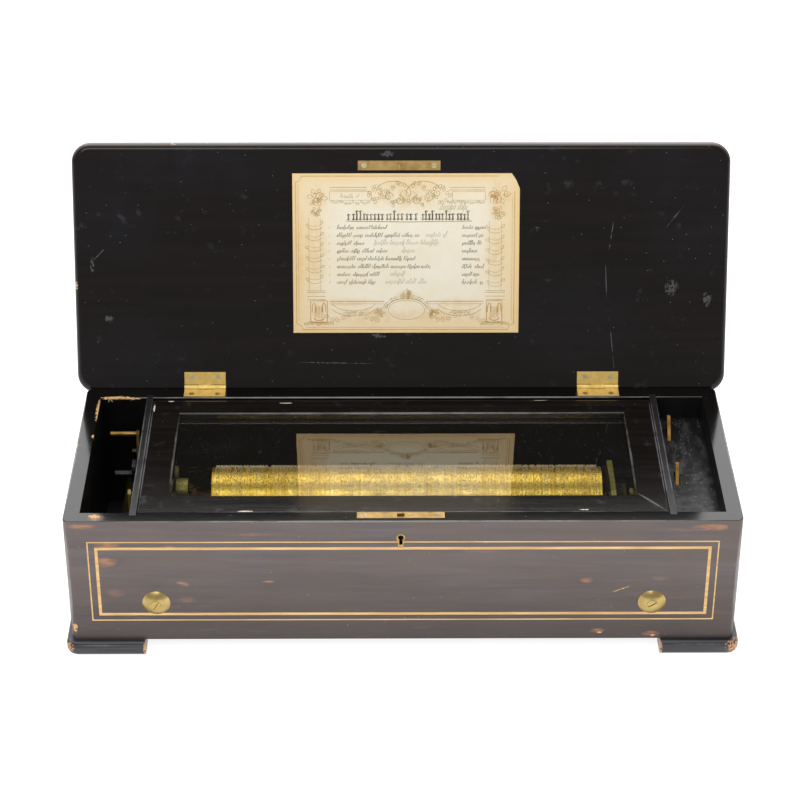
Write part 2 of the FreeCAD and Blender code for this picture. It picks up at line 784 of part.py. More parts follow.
def tune_card():
    y1 = lid_axis_y - card_s
    z0 = rim_z + lid_gap
    x0 = card_x - card_w / 2
    y0 = y1 - card_h
    outline = [(x0, y1), (x0 + card_w, y1), (x0 + card_w, y0 + 13.0), (x0 + card_w - 3.0, y0 + 6.0),
               (x0 + card_w - 7.0, y0), (x0, y0)]
    card = prism([vec(x, y, z0 - card_t) for x, y in outline], vec(0, 0, card_t))
    return opened(card)


def small_screws(places, face_z, out):
    turns = (20.0, 75.0, -35.0, 50.0, 110.0, 5.0)
    return [screw(vec(x, y, face_z), out, small_screw_r, small_screw_deep, small_shank_r,
                  small_shank_l, turns[i % len(turns)], True)
            for i, (x, y) in enumerate(places)]


def case_small_screws():
    lock_xy = [(x, y) for x, y, z in lock_screw_places()]
    return together(small_screws(hinge_screw_places() + lock_xy, rim_z, Z_AXIS))


def lid_small_screws():
    places = hinge_screw_places() + keeper_screw_places()
    return opened(together(small_screws(places, rim_z + lid_gap, FreeCAD.Vector(0, 0, -1))))


# ---- glass lid -----------------------------------------------------------------------
def glass_outer():
    x1 = partition_x - glass_free
    return -x1, x1, inner_front + glass_free, inner_back - glass_free


def frame_member(corners):
    """One mitred member of the glass lid, grooved for the pane."""
    x0, x1, y0, y1 = glass_outer()
    low = frame_top - frame_t
    ring = block(x0, x1, y0, y1, low, frame_top)
    inside = block(x0 + frame_w, x1 - frame_w, y0 + frame_w, y1 - frame_w, low - 1, frame_top + 1)
    ring = ring.cut(inside)
    inner_edges = edges_where(ring, lambda e: at_level(e, frame_top)
                              and e.BoundBox.XMin > x0 + 1 and e.BoundBox.XMax < x1 - 1
                              and e.BoundBox.YMin > y0 + 1 and e.BoundBox.YMax < y1 - 1)
    ring = ring.makeFillet(frame_edge_r, inner_edges)
    rear = edges_where(ring, lambda e: along(e, X_AXIS) and abs(e.BoundBox.YMin - y1) < 1e-6)
    ring = ring.makeFillet(frame_t / 2.0 - 0.02, rear)
    reach = frame_w - groove
    glass_z1 = frame_top - glass_lip
    room = block(x0 + reach, x1 - reach, y0 + reach, y1 - reach,
                 glass_z1 - glass_t - groove_free, glass_z1 + groove_free)
    ring = ring.cut(room)
    wedge = prism([vec(x, y, low - 1) for x, y in corners], vec(0, 0, frame_t + 2))
    member = ring.common(wedge)
    for sx in (-1, 1):
        x_end = sx * (partition_x - glass_free)
        a, b = sorted((x_end - sx * pivot_in, x_end + sx))
        member = member.cut(rod_x(a, b, pivot_y, pivot_z, pivot_r))
    return member


def frame_wedges():
    x0, x1, y0, y1 = glass_outer()
    half = (y1 - y0) / 2.0
    mid = (y0 + y1) / 2.0
    left = [(x0, y0), (x0, y1), (x0 + half, mid)]
    right = [(x1, y0), (x1, y1), (x1 - half, mid)]
    front = [(x0, y0), (x1, y0), (x1 - half, mid), (x0 + half, mid)]
    back = [(x0, y1), (x1, y1), (x1 - half, mid), (x0 + half, mid)]
    return {"glass_frame_left": left, "glass_frame_right": right,
            "glass_frame_front": front, "glass_frame_back": back}


def glass_pane():
    x0, x1, y0, y1 = glass_outer()
    inset = frame_w - groove + 2 * groove_free
    z1 = frame_top - glass_lip
    return block(x0 + inset, x1 - inset, y0 + inset, y1 - inset, z1 - glass_t, z1)


def glass_pivot_pins():
    pins = []
    for sx in (-1, 1):
        x_end = sx * (partition_x - glass_free)
        a, b = sorted((x_end - sx * pivot_in, x_end + sx * (glass_free + pivot_reach)))
        pins.append(rod_x(a, b, pivot_y, pivot_z, pivot_r))
    return together(pins)


# ---- bedplate and its fastenings -----------------------------------------------------
def bedplate():
    bed = block(-bed_left, bed_right, inner_front, inner_back, bed_low, bed_top)
    cuts = []
    for x, y, out in bed_screw_places():
        inner = inner_front if out < 0 else inner_back
        y0, y1 = sorted((inner, inner - out * bed_shank_in))
        cuts.append(rod_y(y0, y1, x, bed_mid_z, bed_shank_r))
    for x, y in bed_top_screws():
        cuts.append(rod_z(bed_top - 6.0, bed_top + 1, x, y, small_shank_r + 0.3))
    return bed.cut(cuts)


def cup_washer(x, y, out):
    """Domed washer with a dished seat for the screw head."""
    dome = Part.makeSphere(cup_sphere_r, vec(0, 0, cup_h - cup_sphere_r))
    solid = dome.common(Part.makeCylinder(cup_r, cup_h, vec(0, 0, 0)))
    seat = Part.makeCone(bed_head_r, cup_dish_r, cup_h - head_seat + 0.2, vec(0, 0, head_seat))
    hole = Part.makeCylinder(bed_shank_r + bed_shank_free, cup_h + 2, vec(0, 0, -1))
    solid = solid.cut([seat, hole])
    turn = FreeCAD.Rotation(Z_AXIS, vec(0, out, 0))
    solid.Placement = FreeCAD.Placement(vec(x, y, bed_mid_z), turn)
    return solid


def bed_cup_washers():
    return together([cup_washer(x, y, out) for x, y, out in bed_screw_places()])


def bed_screws():
    turns = (59.0, 32.0, 10.0, 95.0)
    solids = []
    for (x, y, out), turn in zip(bed_screw_places(), turns):
        thick = front_t if out < 0 else back_t
        whole = screw(vec(x, y + out * (head_seat + bed_head_t), bed_mid_z), vec(0, out, 0),
                      bed_head_r, bed_head_t, bed_shank_r,
                      head_seat + thick + bed_shank_in - 0.5, turn, False)
        crown = Part.makeSphere(cup_sphere_r + head_proud,
                                vec(x, y + out * (cup_h - cup_sphere_r), bed_mid_z))
        solids.append(whole.common(crown))
    return together(solids)


def bed_top_screws():
    """Places of the slotted screws that hold the brackets to the bedplate."""
    return [(bearing_x + bearing_t + 5.5, cyl_y - 4.0), (right_x1 + 8.0, cyl_y + right_back + 11.0),
            (right_x1 + 8.0, cyl_y + right_back + 2.0)]


def bracket_screws():
    turns = (35.0, 60.0, -20.0)
    return together([screw(vec(x, y, bed_top + bearing_foot_t + bed_screw_head_t), Z_AXIS,
                           bed_screw_head_r, bed_screw_head_t, small_shank_r + 0.3,
                           bearing_foot_t + 5.5, turn, False)
                     for (x, y), turn in zip(bed_top_screws(), turns)])


# ---- bearings, arbor, cylinder -------------------------------------------------------
def left_bearing():
    x0 = bearing_x
    x1 = x0 + bearing_t
    half = bearing_w / 2.0
    upright = block(x0, x1, cyl_y - half, cyl_y + half, bed_top, cyl_z)
    crown = rod_x(x0, x1, cyl_y, cyl_z, half)
    top = block(x0, x1, cyl_y - half, cyl_y + half, cyl_z, cyl_z + bearing_top - half)
    crown.translate(vec(0, 0, bearing_top - half))
    foot_pad = block(x0, x1 + 11.0, cyl_y - half, cyl_y + 3.0, bed_top, bed_top + bearing_foot_t)
    body = fuse([upright, top, crown, foot_pad])
    x, y = bed_top_screws()[0]
    return body.cut([rod_x(x0 - 1, x1 + 1, cyl_y, cyl_z, arbor_r + running_fit),
                     rod_z(bed_top - 1, bed_top + 20, x, y, small_shank_r + 0.3)])


def right_bearing():
    y0 = cyl_y - right_front
    y1 = cyl_y + right_back
    outline = [(y0, bed_top), (y1, bed_top), (y1, cyl_z + right_top), (y0 + 6.0, cyl_z + right_top),
               (y0, cyl_z + right_top - 6.0)]
    plate = plate_x(outline, right_x0, right_x1)
    pad = block(right_x0, right_x1 + 15.0, y1 - 3.0, y1 + 18.0, bed_top, bed_top + bearing_foot_t)
    body = fuse([plate, pad])
    cuts = [rod_x(right_x0 - 1, right_x1 + 1, cyl_y, cyl_z, arbor_r + running_fit)]
    for x, y in bed_top_screws()[1:]:
        cuts.append(rod_z(bed_top - 1, bed_top + 20, x, y, small_shank_r + 0.3))
    return body.cut(cuts)


def cylinder_arbor():
    """Steel arbor with the pinion of the drive cut on its left end."""
    line = math.degrees(math.atan2(barrel_z - cyl_z, barrel_y - cyl_y))
    bar = rod_x(wheel_x - 0.4, right_x1 + 1.5, cyl_y, cyl_z, arbor_r)
    collar = rod_x(wheel_x1, bearing_x - 0.5, cyl_y, cyl_z, arbor_r + 2.0)
    outline = gear_outline(pinion_teeth, drive_module, wheel_gap, line)
    pinion = plate_x([(cyl_y + u, cyl_z + v) for u, v in outline], wheel_x, wheel_x1)
    return fuse([pinion, bar, collar])


def governor_drive_wheel():
    """Large fine-toothed wheel at the right of the cylinder that drives the governor."""
    x0 = gov_wheel_x - gov_wheel_t / 2.0
    x1 = gov_wheel_x + gov_wheel_t / 2.0
    gear = gear_x(gov_wheel_teeth, gov_module, cyl_y, cyl_z, x0, x1, gov_angle, arbor_r)
    return gear.cut(spokes_x(cyl_y, cyl_z, x0, x1, arbor_r + 4.0, cyl_r - 5.0, 5))


def cylinder_shell():
    tube = rod_x(cyl_x0, cyl_x1, cyl_y, cyl_z, cyl_r)
    hollow = rod_x(cyl_x0 + cap_t, cyl_x1 - cap_t, cyl_y, cyl_z, cyl_r - cyl_wall)
    bore = rod_x(cyl_x0 - 1, cyl_x1 + 1, cyl_y, cyl_z, arbor_r + running_fit)
    dish_l = rod_x(cyl_x0 - 1, cyl_x0 + 1.2, cyl_y, cyl_z, cyl_r - cyl_wall)
    hub_l = rod_x(cyl_x0 - 1, cyl_x0 + 1.2, cyl_y, cyl_z, arbor_r + 4.0)
    dish_r = rod_x(cyl_x1 - 1.2, cyl_x1 + 1, cyl_y, cyl_z, cyl_r - cyl_wall)
    hub_r = rod_x(cyl_x1 - 1.2, cyl_x1 + 1, cyl_y, cyl_z, arbor_r + 4.0)
    return tube.cut([hollow, bore, dish_l.cut(hub_l), dish_r.cut(hub_r)])


def tune_snail():
    """Star wheel and stepped cam on the arbor, between the left bearing and the cylinder."""
    x0 = bearing_x + bearing_t + snail_free
    x1 = x0 + star_t
    outline = []
    for i in range(star_teeth):
        for share, r in ((0.0, star_r), (0.28, star_r * 0.82), (0.72, star_r * 0.82)):
            a = 2 * math.pi * (i + share) / star_teeth
            outline.append((cyl_y + r * math.cos(a), cyl_z + r * math.sin(a)))
    parts = [plate_x(outline, x0, x1)]
    for i in range(snail_steps):
        top = x1 + 2.0 + snail_rise * i
        disc = rod_x(x1 - 0.5, top, cyl_y, cyl_z, snail_r)
        a0 = 2 * math.pi * i / snail_steps
        a1 = 2 * math.pi * (i + 1) / snail_steps
        reach = 2.0 * snail_r
        wedge = [(cyl_y, cyl_z), (cyl_y + reach * math.cos(a0), cyl_z + reach * math.sin(a0)),
                 (cyl_y + reach * math.cos(a1), cyl_z + reach * math.sin(a1))]
        parts.append(disc.common(plate_x(wedge, x0, top + 1)))
    parts.append(rod_x(x1 - 0.5, cyl_x0, cyl_y, cyl_z, arbor_r + 1.6))
    return fuse(parts).cut(rod_x(x0 - 1, cyl_x0 + 1, cyl_y, cyl_z, arbor_r))


# ---- spring barrel and winding -------------------------------------------------------
def spring_barrel():
    """Closed drum for the mainspring; its right end is the great wheel."""
    line = math.degrees(math.atan2(cyl_z - barrel_z, cyl_y - barrel_y))
    half_tooth = 180.0 / wheel_teeth
    wheel = gear_x(wheel_teeth, drive_module, barrel_y, barrel_z, wheel_x, wheel_x1,
                   line + half_tooth, winding_r + running_fit)
    drum = rod_x(barrel_x0, wheel_x, barrel_y, barrel_z, barrel_r)
    hollow = rod_x(barrel_x0 + barrel_wall, wheel_x - barrel_wall, barrel_y, barrel_z,
                   barrel_r - barrel_wall)
    bore = rod_x(barrel_x0 - 1, wheel_x1 + 1, barrel_y, barrel_z, winding_r + running_fit)
    return wheel.fuse(drum).removeSplitter().cut([hollow, bore])


def winding_arbor():
    main = rod_x(winding_end, wheel_x1 + 1.0 + cock_t + 0.8, barrel_y, barrel_z, winding_r)
    return main


def cock(x0, x1):
    """Pedestal that carries the winding arbor."""
    half = 7.0
    post = block(x0, x1, barrel_y - half, barrel_y + half, bed_top, barrel_z)
    crown = rod_x(x0, x1, barrel_y, barrel_z, half)
    body = fuse([post, crown])
    return body.cut(rod_x(x0 - 1, x1 + 1, barrel_y, barrel_z, winding_r + running_fit))


def barrel_cocks():
    return together([cock(left_cock_x, left_cock_x + cock_t),
                     cock(wheel_x1 + 1.0, wheel_x1 + 1.0 + cock_t)])


def ratchet_wheel():
    points = []
    for i in range(ratchet_teeth):
        a = 2 * math.pi * i / ratchet_teeth
        b = 2 * math.pi * (i + 0.92) / ratchet_teeth
        points.append((ratchet_r * math.cos(a), ratchet_r * math.sin(a)))
        low = ratchet_r - ratchet_deep
        points.append((low * math.cos(b), low * math.sin(b)))
    outline = [(barrel_y + u, barrel_z + v) for u, v in points]
    return plate_x(outline, ratchet_x0, ratchet_x1).cut(
        rod_x(ratchet_x0 - 1, ratchet_x1 + 1, barrel_y, barrel_z, winding_r))


def lever_tip():
    a = math.radians(lever_back)
    return barrel_y + lever_len * math.sin(a), barrel_z + lever_len * math.cos(a)


def winding_lever():
    """Flat arm that rocks on the winding arbor."""
    y1, z1 = lever_tip()
    a = math.radians(lever_back)
    across = (math.cos(a), -math.sin(a))
    wide0 = 6.5
    wide1 = 3.6
    outline = [(barrel_y - across[0] * wide0, barrel_z - across[1] * wide0),
               (barrel_y + across[0] * wide0, barrel_z + across[1] * wide0),
               (y1 + across[0] * wide1, z1 + across[1] * wide1),
               (y1 - across[0] * wide1, z1 - across[1] * wide1)]
    arm = plate_x(outline, lever_x0, lever_x1)
    body = fuse([arm, rod_x(lever_x0, lever_x1, barrel_y, barrel_z, wide0),
                 rod_x(lever_x0, lever_x1, y1, z1, wide1)])
    py, pz = click_pivot()
    return body.cut([rod_x(lever_x0 - 1, lever_x1 + 1, barrel_y, barrel_z, winding_r + running_fit),
                     rod_x(lever_x0 - 1, lever_x1 + 1, y1, z1, handle_r * 0.6),
                     rod_x(lever_x0 - 1, lever_x1 + 1, py, pz, 1.2)])


def winding_handle():
    y1, z1 = lever_tip()
    body = rod_x(lever_x0 - handle_len + lever_t, lever_x0, y1, z1, handle_r)
    ends = edges_where(body, lambda e: abs(e.BoundBox.XMax - body.BoundBox.XMin) < 1e-6)
    body = body.makeFillet(0.9, ends)
    return body.fuse(rod_x(lever_x0, lever_x1, y1, z1, handle_r * 0.6)).removeSplitter()


def click_pivot():
    """Pivot of the click on the lever arm, a little outside the ratchet."""
    a = math.radians(lever_back)
    r = ratchet_r + 7.0
    return barrel_y + r * math.sin(a), barrel_z + r * math.cos(a)


def click(py, pz, turn_deg, x0, x1, y, z):
    """Small pawl: round boss on a pivot with a nose just outside the teeth."""
    boss = rod_x(x0, x1, py, pz, 2.6)
    radial = math.atan2(pz - z, py - y)
    nose_a = radial + math.radians(turn_deg)
    near = ratchet_r + click_free
    far = ratchet_r + click_free + 3.2
    nose = [(y + near * math.cos(nose_a), z + near * math.sin(nose_a)),
            (y + far * math.cos(nose_a), z + far * math.sin(nose_a)),
            (py + 2.4 * math.cos(radial), pz + 2.4 * math.sin(radial)),
            (py - 2.2 * math.cos(radial), pz - 2.2 * math.sin(radial))]
    return fuse([boss, plate_x(nose, x0, x1)])


def lever_click():
    py, pz = click_pivot()
    body = click(py, pz, -38.0, ratchet_x0, ratchet_x1, barrel_y, barrel_z)
    stud = rod_x(ratchet_x1 - 0.5, lever_x1 - 0.1, py, pz, 1.2 - running_fit)
    return body.fuse(stud).removeSplitter()


def holding_pivot():
    a = math.radians(205.0)
    r = ratchet_r + 7.0
    return barrel_y + r * math.cos(a), barrel_z + r * math.sin(a)


def holding_click():
    py, pz = holding_pivot()
    body = click(py, pz, 38.0, ratchet_x0, ratchet_x1, barrel_y, barrel_z)
    return body.cut(rod_x(ratchet_x0 - 1, ratchet_x1 + 1, py, pz, 1.2 + running_fit))


def holding_post():
    """Upright stud plate on the bedplate that carries the holding click."""
    py, pz = holding_pivot()
    x0 = ratchet_x0 - 0.6 - 2.6
    x1 = ratchet_x0 - 0.6
    post = block(x0, x1, py - 4.0, py + 4.0, bed_top, pz)
    crown = rod_x(x0, x1, py, pz, 4.0)
    stud = rod_x(x0, ratchet_x1 + 0.2, py, pz, 1.2)
    return fuse([post, crown, stud])


# ---- governor ------------------------------------------------------------------------
def governor_pinion_arbor():
    line = gov_angle + 180.0
    half_tooth = 180.0 / gov_pinion_teeth
    x0 = gov_wheel_x - gov_wheel_t / 2.0 - 0.4
    x1 = gov_wheel_x + gov_wheel_t / 2.0 + 0.4
    gear = gear_x(gov_pinion_teeth, gov_module, gov_y, gov_z, x0, x1, line + half_tooth, gov_arbor_r / 2)
    arbor = rod_x(x0 - 1.2, gov_x1 + gov_plate_t + 0.6, gov_y, gov_z, gov_arbor_r)
    return fuse([gear, arbor])


def worm_wheel():
    x0 = worm_x - worm_wheel_t / 2.0
    x1 = worm_x + worm_wheel_t / 2.0
    backlash = worm_backlash / worm_module
    outline = gear_outline(worm_wheel_teeth, worm_module, backlash / 2.0, 180.0)
    solid = plate_x([(gov_y + u, gov_z + v) for u, v in outline], x0, x1)
    hub = rod_x(x0 - 2.0, x1 + 2.0, gov_y, gov_z, 3.0)
    return solid.fuse(hub).removeSplitter().cut(
        rod_x(x0 - 3, x1 + 3, gov_y, gov_z, gov_arbor_r))


def governor_frame():
    """Two uprights on a foot, joined by a cock that holds the top pivot of the worm."""
    y0 = worm_y - 7.0
    y1 = gov_y + 7.0
    top = cyl_z + 30.0
    parts = [block(gov_x0, gov_x1 + gov_plate_t, y0, y1, bed_top, bed_top + bearing_foot_t)]
    for x in (gov_x0, gov_x1):
        parts.append(block(x, x + gov_plate_t, y0, y1, bed_top, gov_z + 6.0))
    parts.append(block(gov_x1, gov_x1 + gov_plate_t, worm_y - 4.0, worm_y + 4.0, bed_top, top))
    parts.append(block(worm_x - 4.0, gov_x1 + gov_plate_t, worm_y - 4.0, worm_y + 4.0, top - 3.0, top))
    body = fuse(parts)
    return body.cut([rod_x(gov_x0 - 1, gov_x1 + gov_plate_t + 1, gov_y, gov_z,
                           gov_arbor_r + running_fit),
                     rod_z(bed_top + bearing_foot_t - 2.5, top - 1.0, worm_x, worm_y,
                           0.8 + running_fit)])


def worm():
    """Upright endless screw."""
    pitch = math.pi * worm_module
    height = pitch * worm_turns
    z0 = gov_z - height / 2.0
    core_r = worm_r - 1.25 * worm_module
    root = bed_top + bearing_foot_t
    top = cyl_z + 30.0 - 3.0
    pivot = rod_z(root - 2.3, root + 1.0, worm_x, worm_y, 0.8)
    upper = rod_z(top - 1.0, top + 1.7, worm_x, worm_y, 0.8)
    core = rod_z(root + 0.3, top - 0.3, worm_x, worm_y, core_r)
    path = Part.makeHelix(pitch, height, core_r)
    wide = pitch / 2.0 - worm_backlash
    tall = 1.35 * worm_module
    a = wide / 2.0 + tall * math.tan(math.radians(20.0)) / 2.0
    b = wide / 2.0 - tall * math.tan(math.radians(20.0)) / 2.0
    sunk = 0.2
    pts = [vec(core_r - sunk, 0, -a), vec(core_r + tall, 0, -b), vec(core_r + tall, 0, b),
           vec(core_r - sunk, 0, a)]
    section = Part.makePolygon(pts + pts[:1])
    thread = Part.Wire(path).makePipeShell([section], True, True)
    start = worm_thread_turn(z0, pitch)
    thread.rotate(vec(0, 0, 0), Z_AXIS, start)
    thread.translate(vec(worm_x, worm_y, z0))
    return fuse([core, pivot, upper, thread])


def worm_thread_turn(z0, pitch):
    """Turn that puts a thread gap level with the wheel tooth that points at the worm."""
    rise = (gov_z + pitch / 2.0) - z0
    return 90.0 - 360.0 * rise / pitch


def fan():
    """Two-bladed air brake near the top of the worm."""
    z1 = cyl_z + 30.0 - 3.0 - 2.0
    z0 = z1 - fan_h
    core_r = worm_r - 1.25 * worm_module
    hub = rod_z(z0, z1, worm_x, worm_y, core_r + 1.2)
    blades = block(worm_x - fan_w / 2, worm_x + fan_w / 2, worm_y - fan_t / 2, worm_y + fan_t / 2,
                   z0, z1)
    blades.rotate(vec(worm_x, worm_y, 0), Z_AXIS, 55.0)
    return fuse([hub, blades]).cut(rod_z(z0 - 1, z1 + 1, worm_x, worm_y, core_r))


# ---- comb ----------------------------------------------------------------------------
def comb_ends():
    count = int((cyl_len - 6.0) / tooth_pitch)
    used = count * tooth_pitch - tooth_gap
    x0 = cyl_x0 + (cyl_len - used) / 2.0
    return x0, x0 + used, count


def comb():
    x0, x1, count = comb_ends()
    heel_y = tip_y - tooth_l_bass - comb_heel
    z1 = comb_mid_z + comb_t / 2.0
    z0 = z1 - comb_t
    outline = [vec(x0, heel_y, z0), vec(x0, tip_y, z0)]
    for i in range(count - 1):
        share = (i + 1.0) / count
        root = tip_y - (tooth_l_bass + (tooth_l_treble - tooth_l_bass) * share)
        right = x0 + (i + 1) * tooth_pitch - tooth_gap
        outline.append(vec(right, tip_y, z0))
        outline.append(vec(right, root, z0))
        outline.append(vec(right + tooth_gap, root, z0))
        outline.append(vec(right + tooth_gap, tip_y, z0))
    outline.append(vec(x1, tip_y, z0))
    outline.append(vec(x1, heel_y, z0))
    body = prism(outline, vec(0, 0, comb_t))
    thin = prism([vec(x0 - 1, tip_y - tooth_l_bass, z0 - 1), vec(x1 + 1, tip_y - tooth_l_treble, z0 - 1),
                  vec(x1 + 1, tip_y + 1, z0 - 1), vec(x0 - 1, tip_y + 1, z0 - 1)],
                 vec(0, 0, comb_t - tooth_t + 1))
    body = body.cut(thin)
    return body.cut([rod_z(z0 - 1, z1 + 1, x, y, small_shank_r + 0.4) for x, y in comb_screw_places()])


def comb_screw_places():
    x0, x1, count = comb_ends()
    y = tip_y - tooth_l_bass - comb_heel * 0.55
    step = (x1 - x0 - 16.0) / (comb_screws - 1)
    return [(x0 + 8.0 + i * step, y) for i in range(comb_screws)]


def comb_base():
    x0, x1, count = comb_ends()
    y0 = tip_y - tooth_l_bass - comb_heel + 0.5
    y1 = tip_y - tooth_l_bass - 1.5
    z1 = comb_mid_z - comb_t / 2.0
    body = block(x0, x1, y0, y1, bed_top, z1)
    return body.cut([rod_z(z1 - 8.0, z1 + 1, x, y, small_shank_r + 0.4)
                     for x, y in comb_screw_places()])


def comb_screw_set():
    z1 = comb_mid_z + comb_t / 2.0
    return together([screw(vec(x, y, z1 + 2.6), Z_AXIS, 3.8, 2.6, small_shank_r + 0.4,
                           comb_t + 6.5, 37.0 * i, False)
                     for i, (x, y) in enumerate(comb_screw_places())])


# ---- levers of the right bay ---------------------------------------------------------
def blade(i):
    """Flat brass lever that leans back out of its slot, with a rounded tip."""
    y = blade_y[i]
    a = math.radians(blade_lean[i])
    py = y - (board_z - stud_z) * math.tan(a)
    pz = stud_z
    ty = y + blade_up[i] * math.sin(a)
    tz = board_z + blade_up[i] * math.cos(a)
    across = (math.cos(a), -math.sin(a))
    w0 = blade_w / 2.0
    w1 = blade_w / 2.0 - 0.6
    outline = [(py - across[0] * w0, pz - across[1] * w0), (py + across[0] * w0, pz + across[1] * w0),
               (ty + across[0] * w1, tz + across[1] * w1), (ty - across[0] * w1, tz - across[1] * w1)]
    x0 = lever_x - blade_t / 2.0
    x1 = lever_x + blade_t / 2.0
    body = fuse([plate_x(outline, x0, x1), rod_x(x0, x1, py, pz, w0), rod_x(x0, x1, ty, tz, w1)])
    return body.cut(rod_x(x0 - 1, x1 + 1, py, pz, stud_r + running_fit))


def blade_pivots():
    """Studs fixed in the partition that the two blades turn on."""
    studs = []
    x0 = partition_x + partition_t
    x1 = lever_x + blade_t / 2.0
    for y, lean in zip(blade_y, blade_lean):
        py = y - (board_z - stud_z) * math.tan(math.radians(lean))
        shaft = rod_x(x0, x1 + 0.8, py, stud_z, stud_r)
        collar = rod_x(x0, lever_x - blade_t / 2.0 - 0.3, py, stud_z, stud_collar_r)
        cap = rod_x(x1 + 0.3, x1 + 1.5, py, stud_z, stud_collar_r - 0.4)
        studs.append(fuse([shaft, collar, cap]))
    return together(studs)


def build():
    """Every node by name, before the shift to the origin."""
    nodes = {
        "front_board": front_board(),
        "back_board": back_board(),
        "left_end": end_board(-1),
        "right_end": end_board(1),
        "bottom_board": bottom_board(),
        "foot_front_left": foot(-1, -1),
        "foot_front_right": foot(1, -1),
        "foot_back_left": foot(-1, 1),
        "foot_back_right": foot(1, 1),
        "left_partition": left_partition(),
        "right_partition": right_partition(),
        "control_board": control_board(),
        "stringing": stringing(),
        "key_escutcheon": escutcheon(),
        "lock": lock(),
        "lock_bolt": lock_bolt(),
        "case_small_screws": case_small_screws(),
        "hinge_case_leaves": together([hinge_leaf(-hinge_x, False), hinge_leaf(hinge_x, False)]),
        "hinge_pins": together([rod_x(cx - hinge_l / 2, cx + hinge_l / 2, lid_axis_y, lid_axis_z, pin_r)
                                for cx in (-hinge_x, hinge_x)]),
        "lid_board": lid_board(),
        "lid_keeper": lid_keeper(),
        "lid_small_screws": lid_small_screws(),
        "tune_card": tune_card(),
        "hinge_lid_leaves": opened(together([hinge_leaf(-hinge_x, True), hinge_leaf(hinge_x, True)])),
        "glass_pane": glass_pane(),
        "glass_pivot_pins": glass_pivot_pins(),
        "bedplate": bedplate(),
        "bed_cup_washers": bed_cup_washers(),
        "bed_screws": bed_screws(),
        "bracket_screws": bracket_screws(),
        "left_bearing": left_bearing(),
        "right_bearing": right_bearing(),
        "cylinder_arbor": cylinder_arbor(),
        "governor_drive_wheel": governor_drive_wheel(),
        "cylinder_shell": cylinder_shell(),
        "tune_snail": tune_snail(),
        "spring_barrel": spring_barrel(),
        "winding_arbor": winding_arbor(),
        "barrel_cocks": barrel_cocks(),
        "ratchet_wheel": ratchet_wheel(),
        "winding_lever": winding_lever(),
        "winding_handle": winding_handle(),
        "lever_click": lever_click(),
        "holding_click": holding_click(),
        "holding_post": holding_post(),
        "governor_pinion_arbor": governor_pinion_arbor(),
        "worm_wheel": worm_wheel(),
        "governor_frame": governor_frame(),
        "worm": worm(),
        "fan": fan(),
        "comb": comb(),
        "comb_base": comb_base(),
        "comb_screws": comb_screw_set(),
        "change_lever": blade(0),
        "stop_lever": blade(1),
        "lever_pivots": blade_pivots(),
    }
    for name, wedge in frame_wedges().items():
        nodes[name] = frame_member(wedge)
    return nodes


def shift_y(nodes):
    """Distance in y from the middle of the case to the middle of the open object."""
    boxes = [shape.optimalBoundingBox(False) for shape in nodes.values()]
    return (min(b.YMin for b in boxes) + max(b.YMax for b in boxes)) / 2.0


def main():
    os.makedirs("parts", exist_ok=True)
    nodes = build()
    move = vec(0, -shift_y(nodes), 0)
    for name, shape in nodes.items():
        shape.translate(move)
        shape.exportStep("parts/%s.step" % name)


main()
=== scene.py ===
import json
import math
import random

import bmesh
import bpy
from mathutils import Matrix, Vector


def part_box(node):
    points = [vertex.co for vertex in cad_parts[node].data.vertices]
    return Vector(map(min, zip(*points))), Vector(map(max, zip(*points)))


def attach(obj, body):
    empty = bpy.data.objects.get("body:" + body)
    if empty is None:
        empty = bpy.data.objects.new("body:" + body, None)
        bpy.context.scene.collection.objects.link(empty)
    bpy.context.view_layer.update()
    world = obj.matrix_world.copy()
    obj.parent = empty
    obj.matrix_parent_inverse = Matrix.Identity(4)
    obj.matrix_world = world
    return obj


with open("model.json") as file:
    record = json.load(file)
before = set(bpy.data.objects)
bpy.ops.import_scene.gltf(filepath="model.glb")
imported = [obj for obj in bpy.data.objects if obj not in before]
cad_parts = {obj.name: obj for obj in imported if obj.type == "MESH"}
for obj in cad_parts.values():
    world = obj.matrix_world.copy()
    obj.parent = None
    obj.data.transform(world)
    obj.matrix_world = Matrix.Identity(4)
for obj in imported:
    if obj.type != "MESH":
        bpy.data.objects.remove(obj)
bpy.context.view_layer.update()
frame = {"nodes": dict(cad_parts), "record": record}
nodes = frame["nodes"]
MM = 0.001


# ---- small tools -----------------------------------------------------------------------
def linear(code):
    """sRGB hex to the linear colour a shader socket takes."""
    shades = []
    for i in (1, 3, 5):
        v = int(code[i:i + 2], 16) / 255
        shades.append(v / 12.92 if v <= 0.04045 else ((v + 0.055) / 1.055) ** 2.4)
    return (*shades, 1.0)


def add(tree, kind, feeds=None, **settings):
    """Adds a shader node with its settings, and values or links for its sockets."""
    node = tree.nodes.new("ShaderNode" + kind)
    for name, value in settings.items():
        setattr(node, name, value)
    for key, value in (feeds or {}).items():
        if isinstance(value, bpy.types.NodeSocket):
            tree.links.new(value, node.inputs[key])
        else:
            node.inputs[key].default_value = value
    return node


def new_finish(name, **sockets):
    """A material whose principled shader has its constant sockets set."""
    material = bpy.data.materials.new(name)
    material.use_nodes = True
    shader = material.node_tree.nodes["Principled BSDF"]
    for key, value in sockets.items():
        shader.inputs[key.replace("_", " ")].default_value = value
    return material, material.node_tree, shader


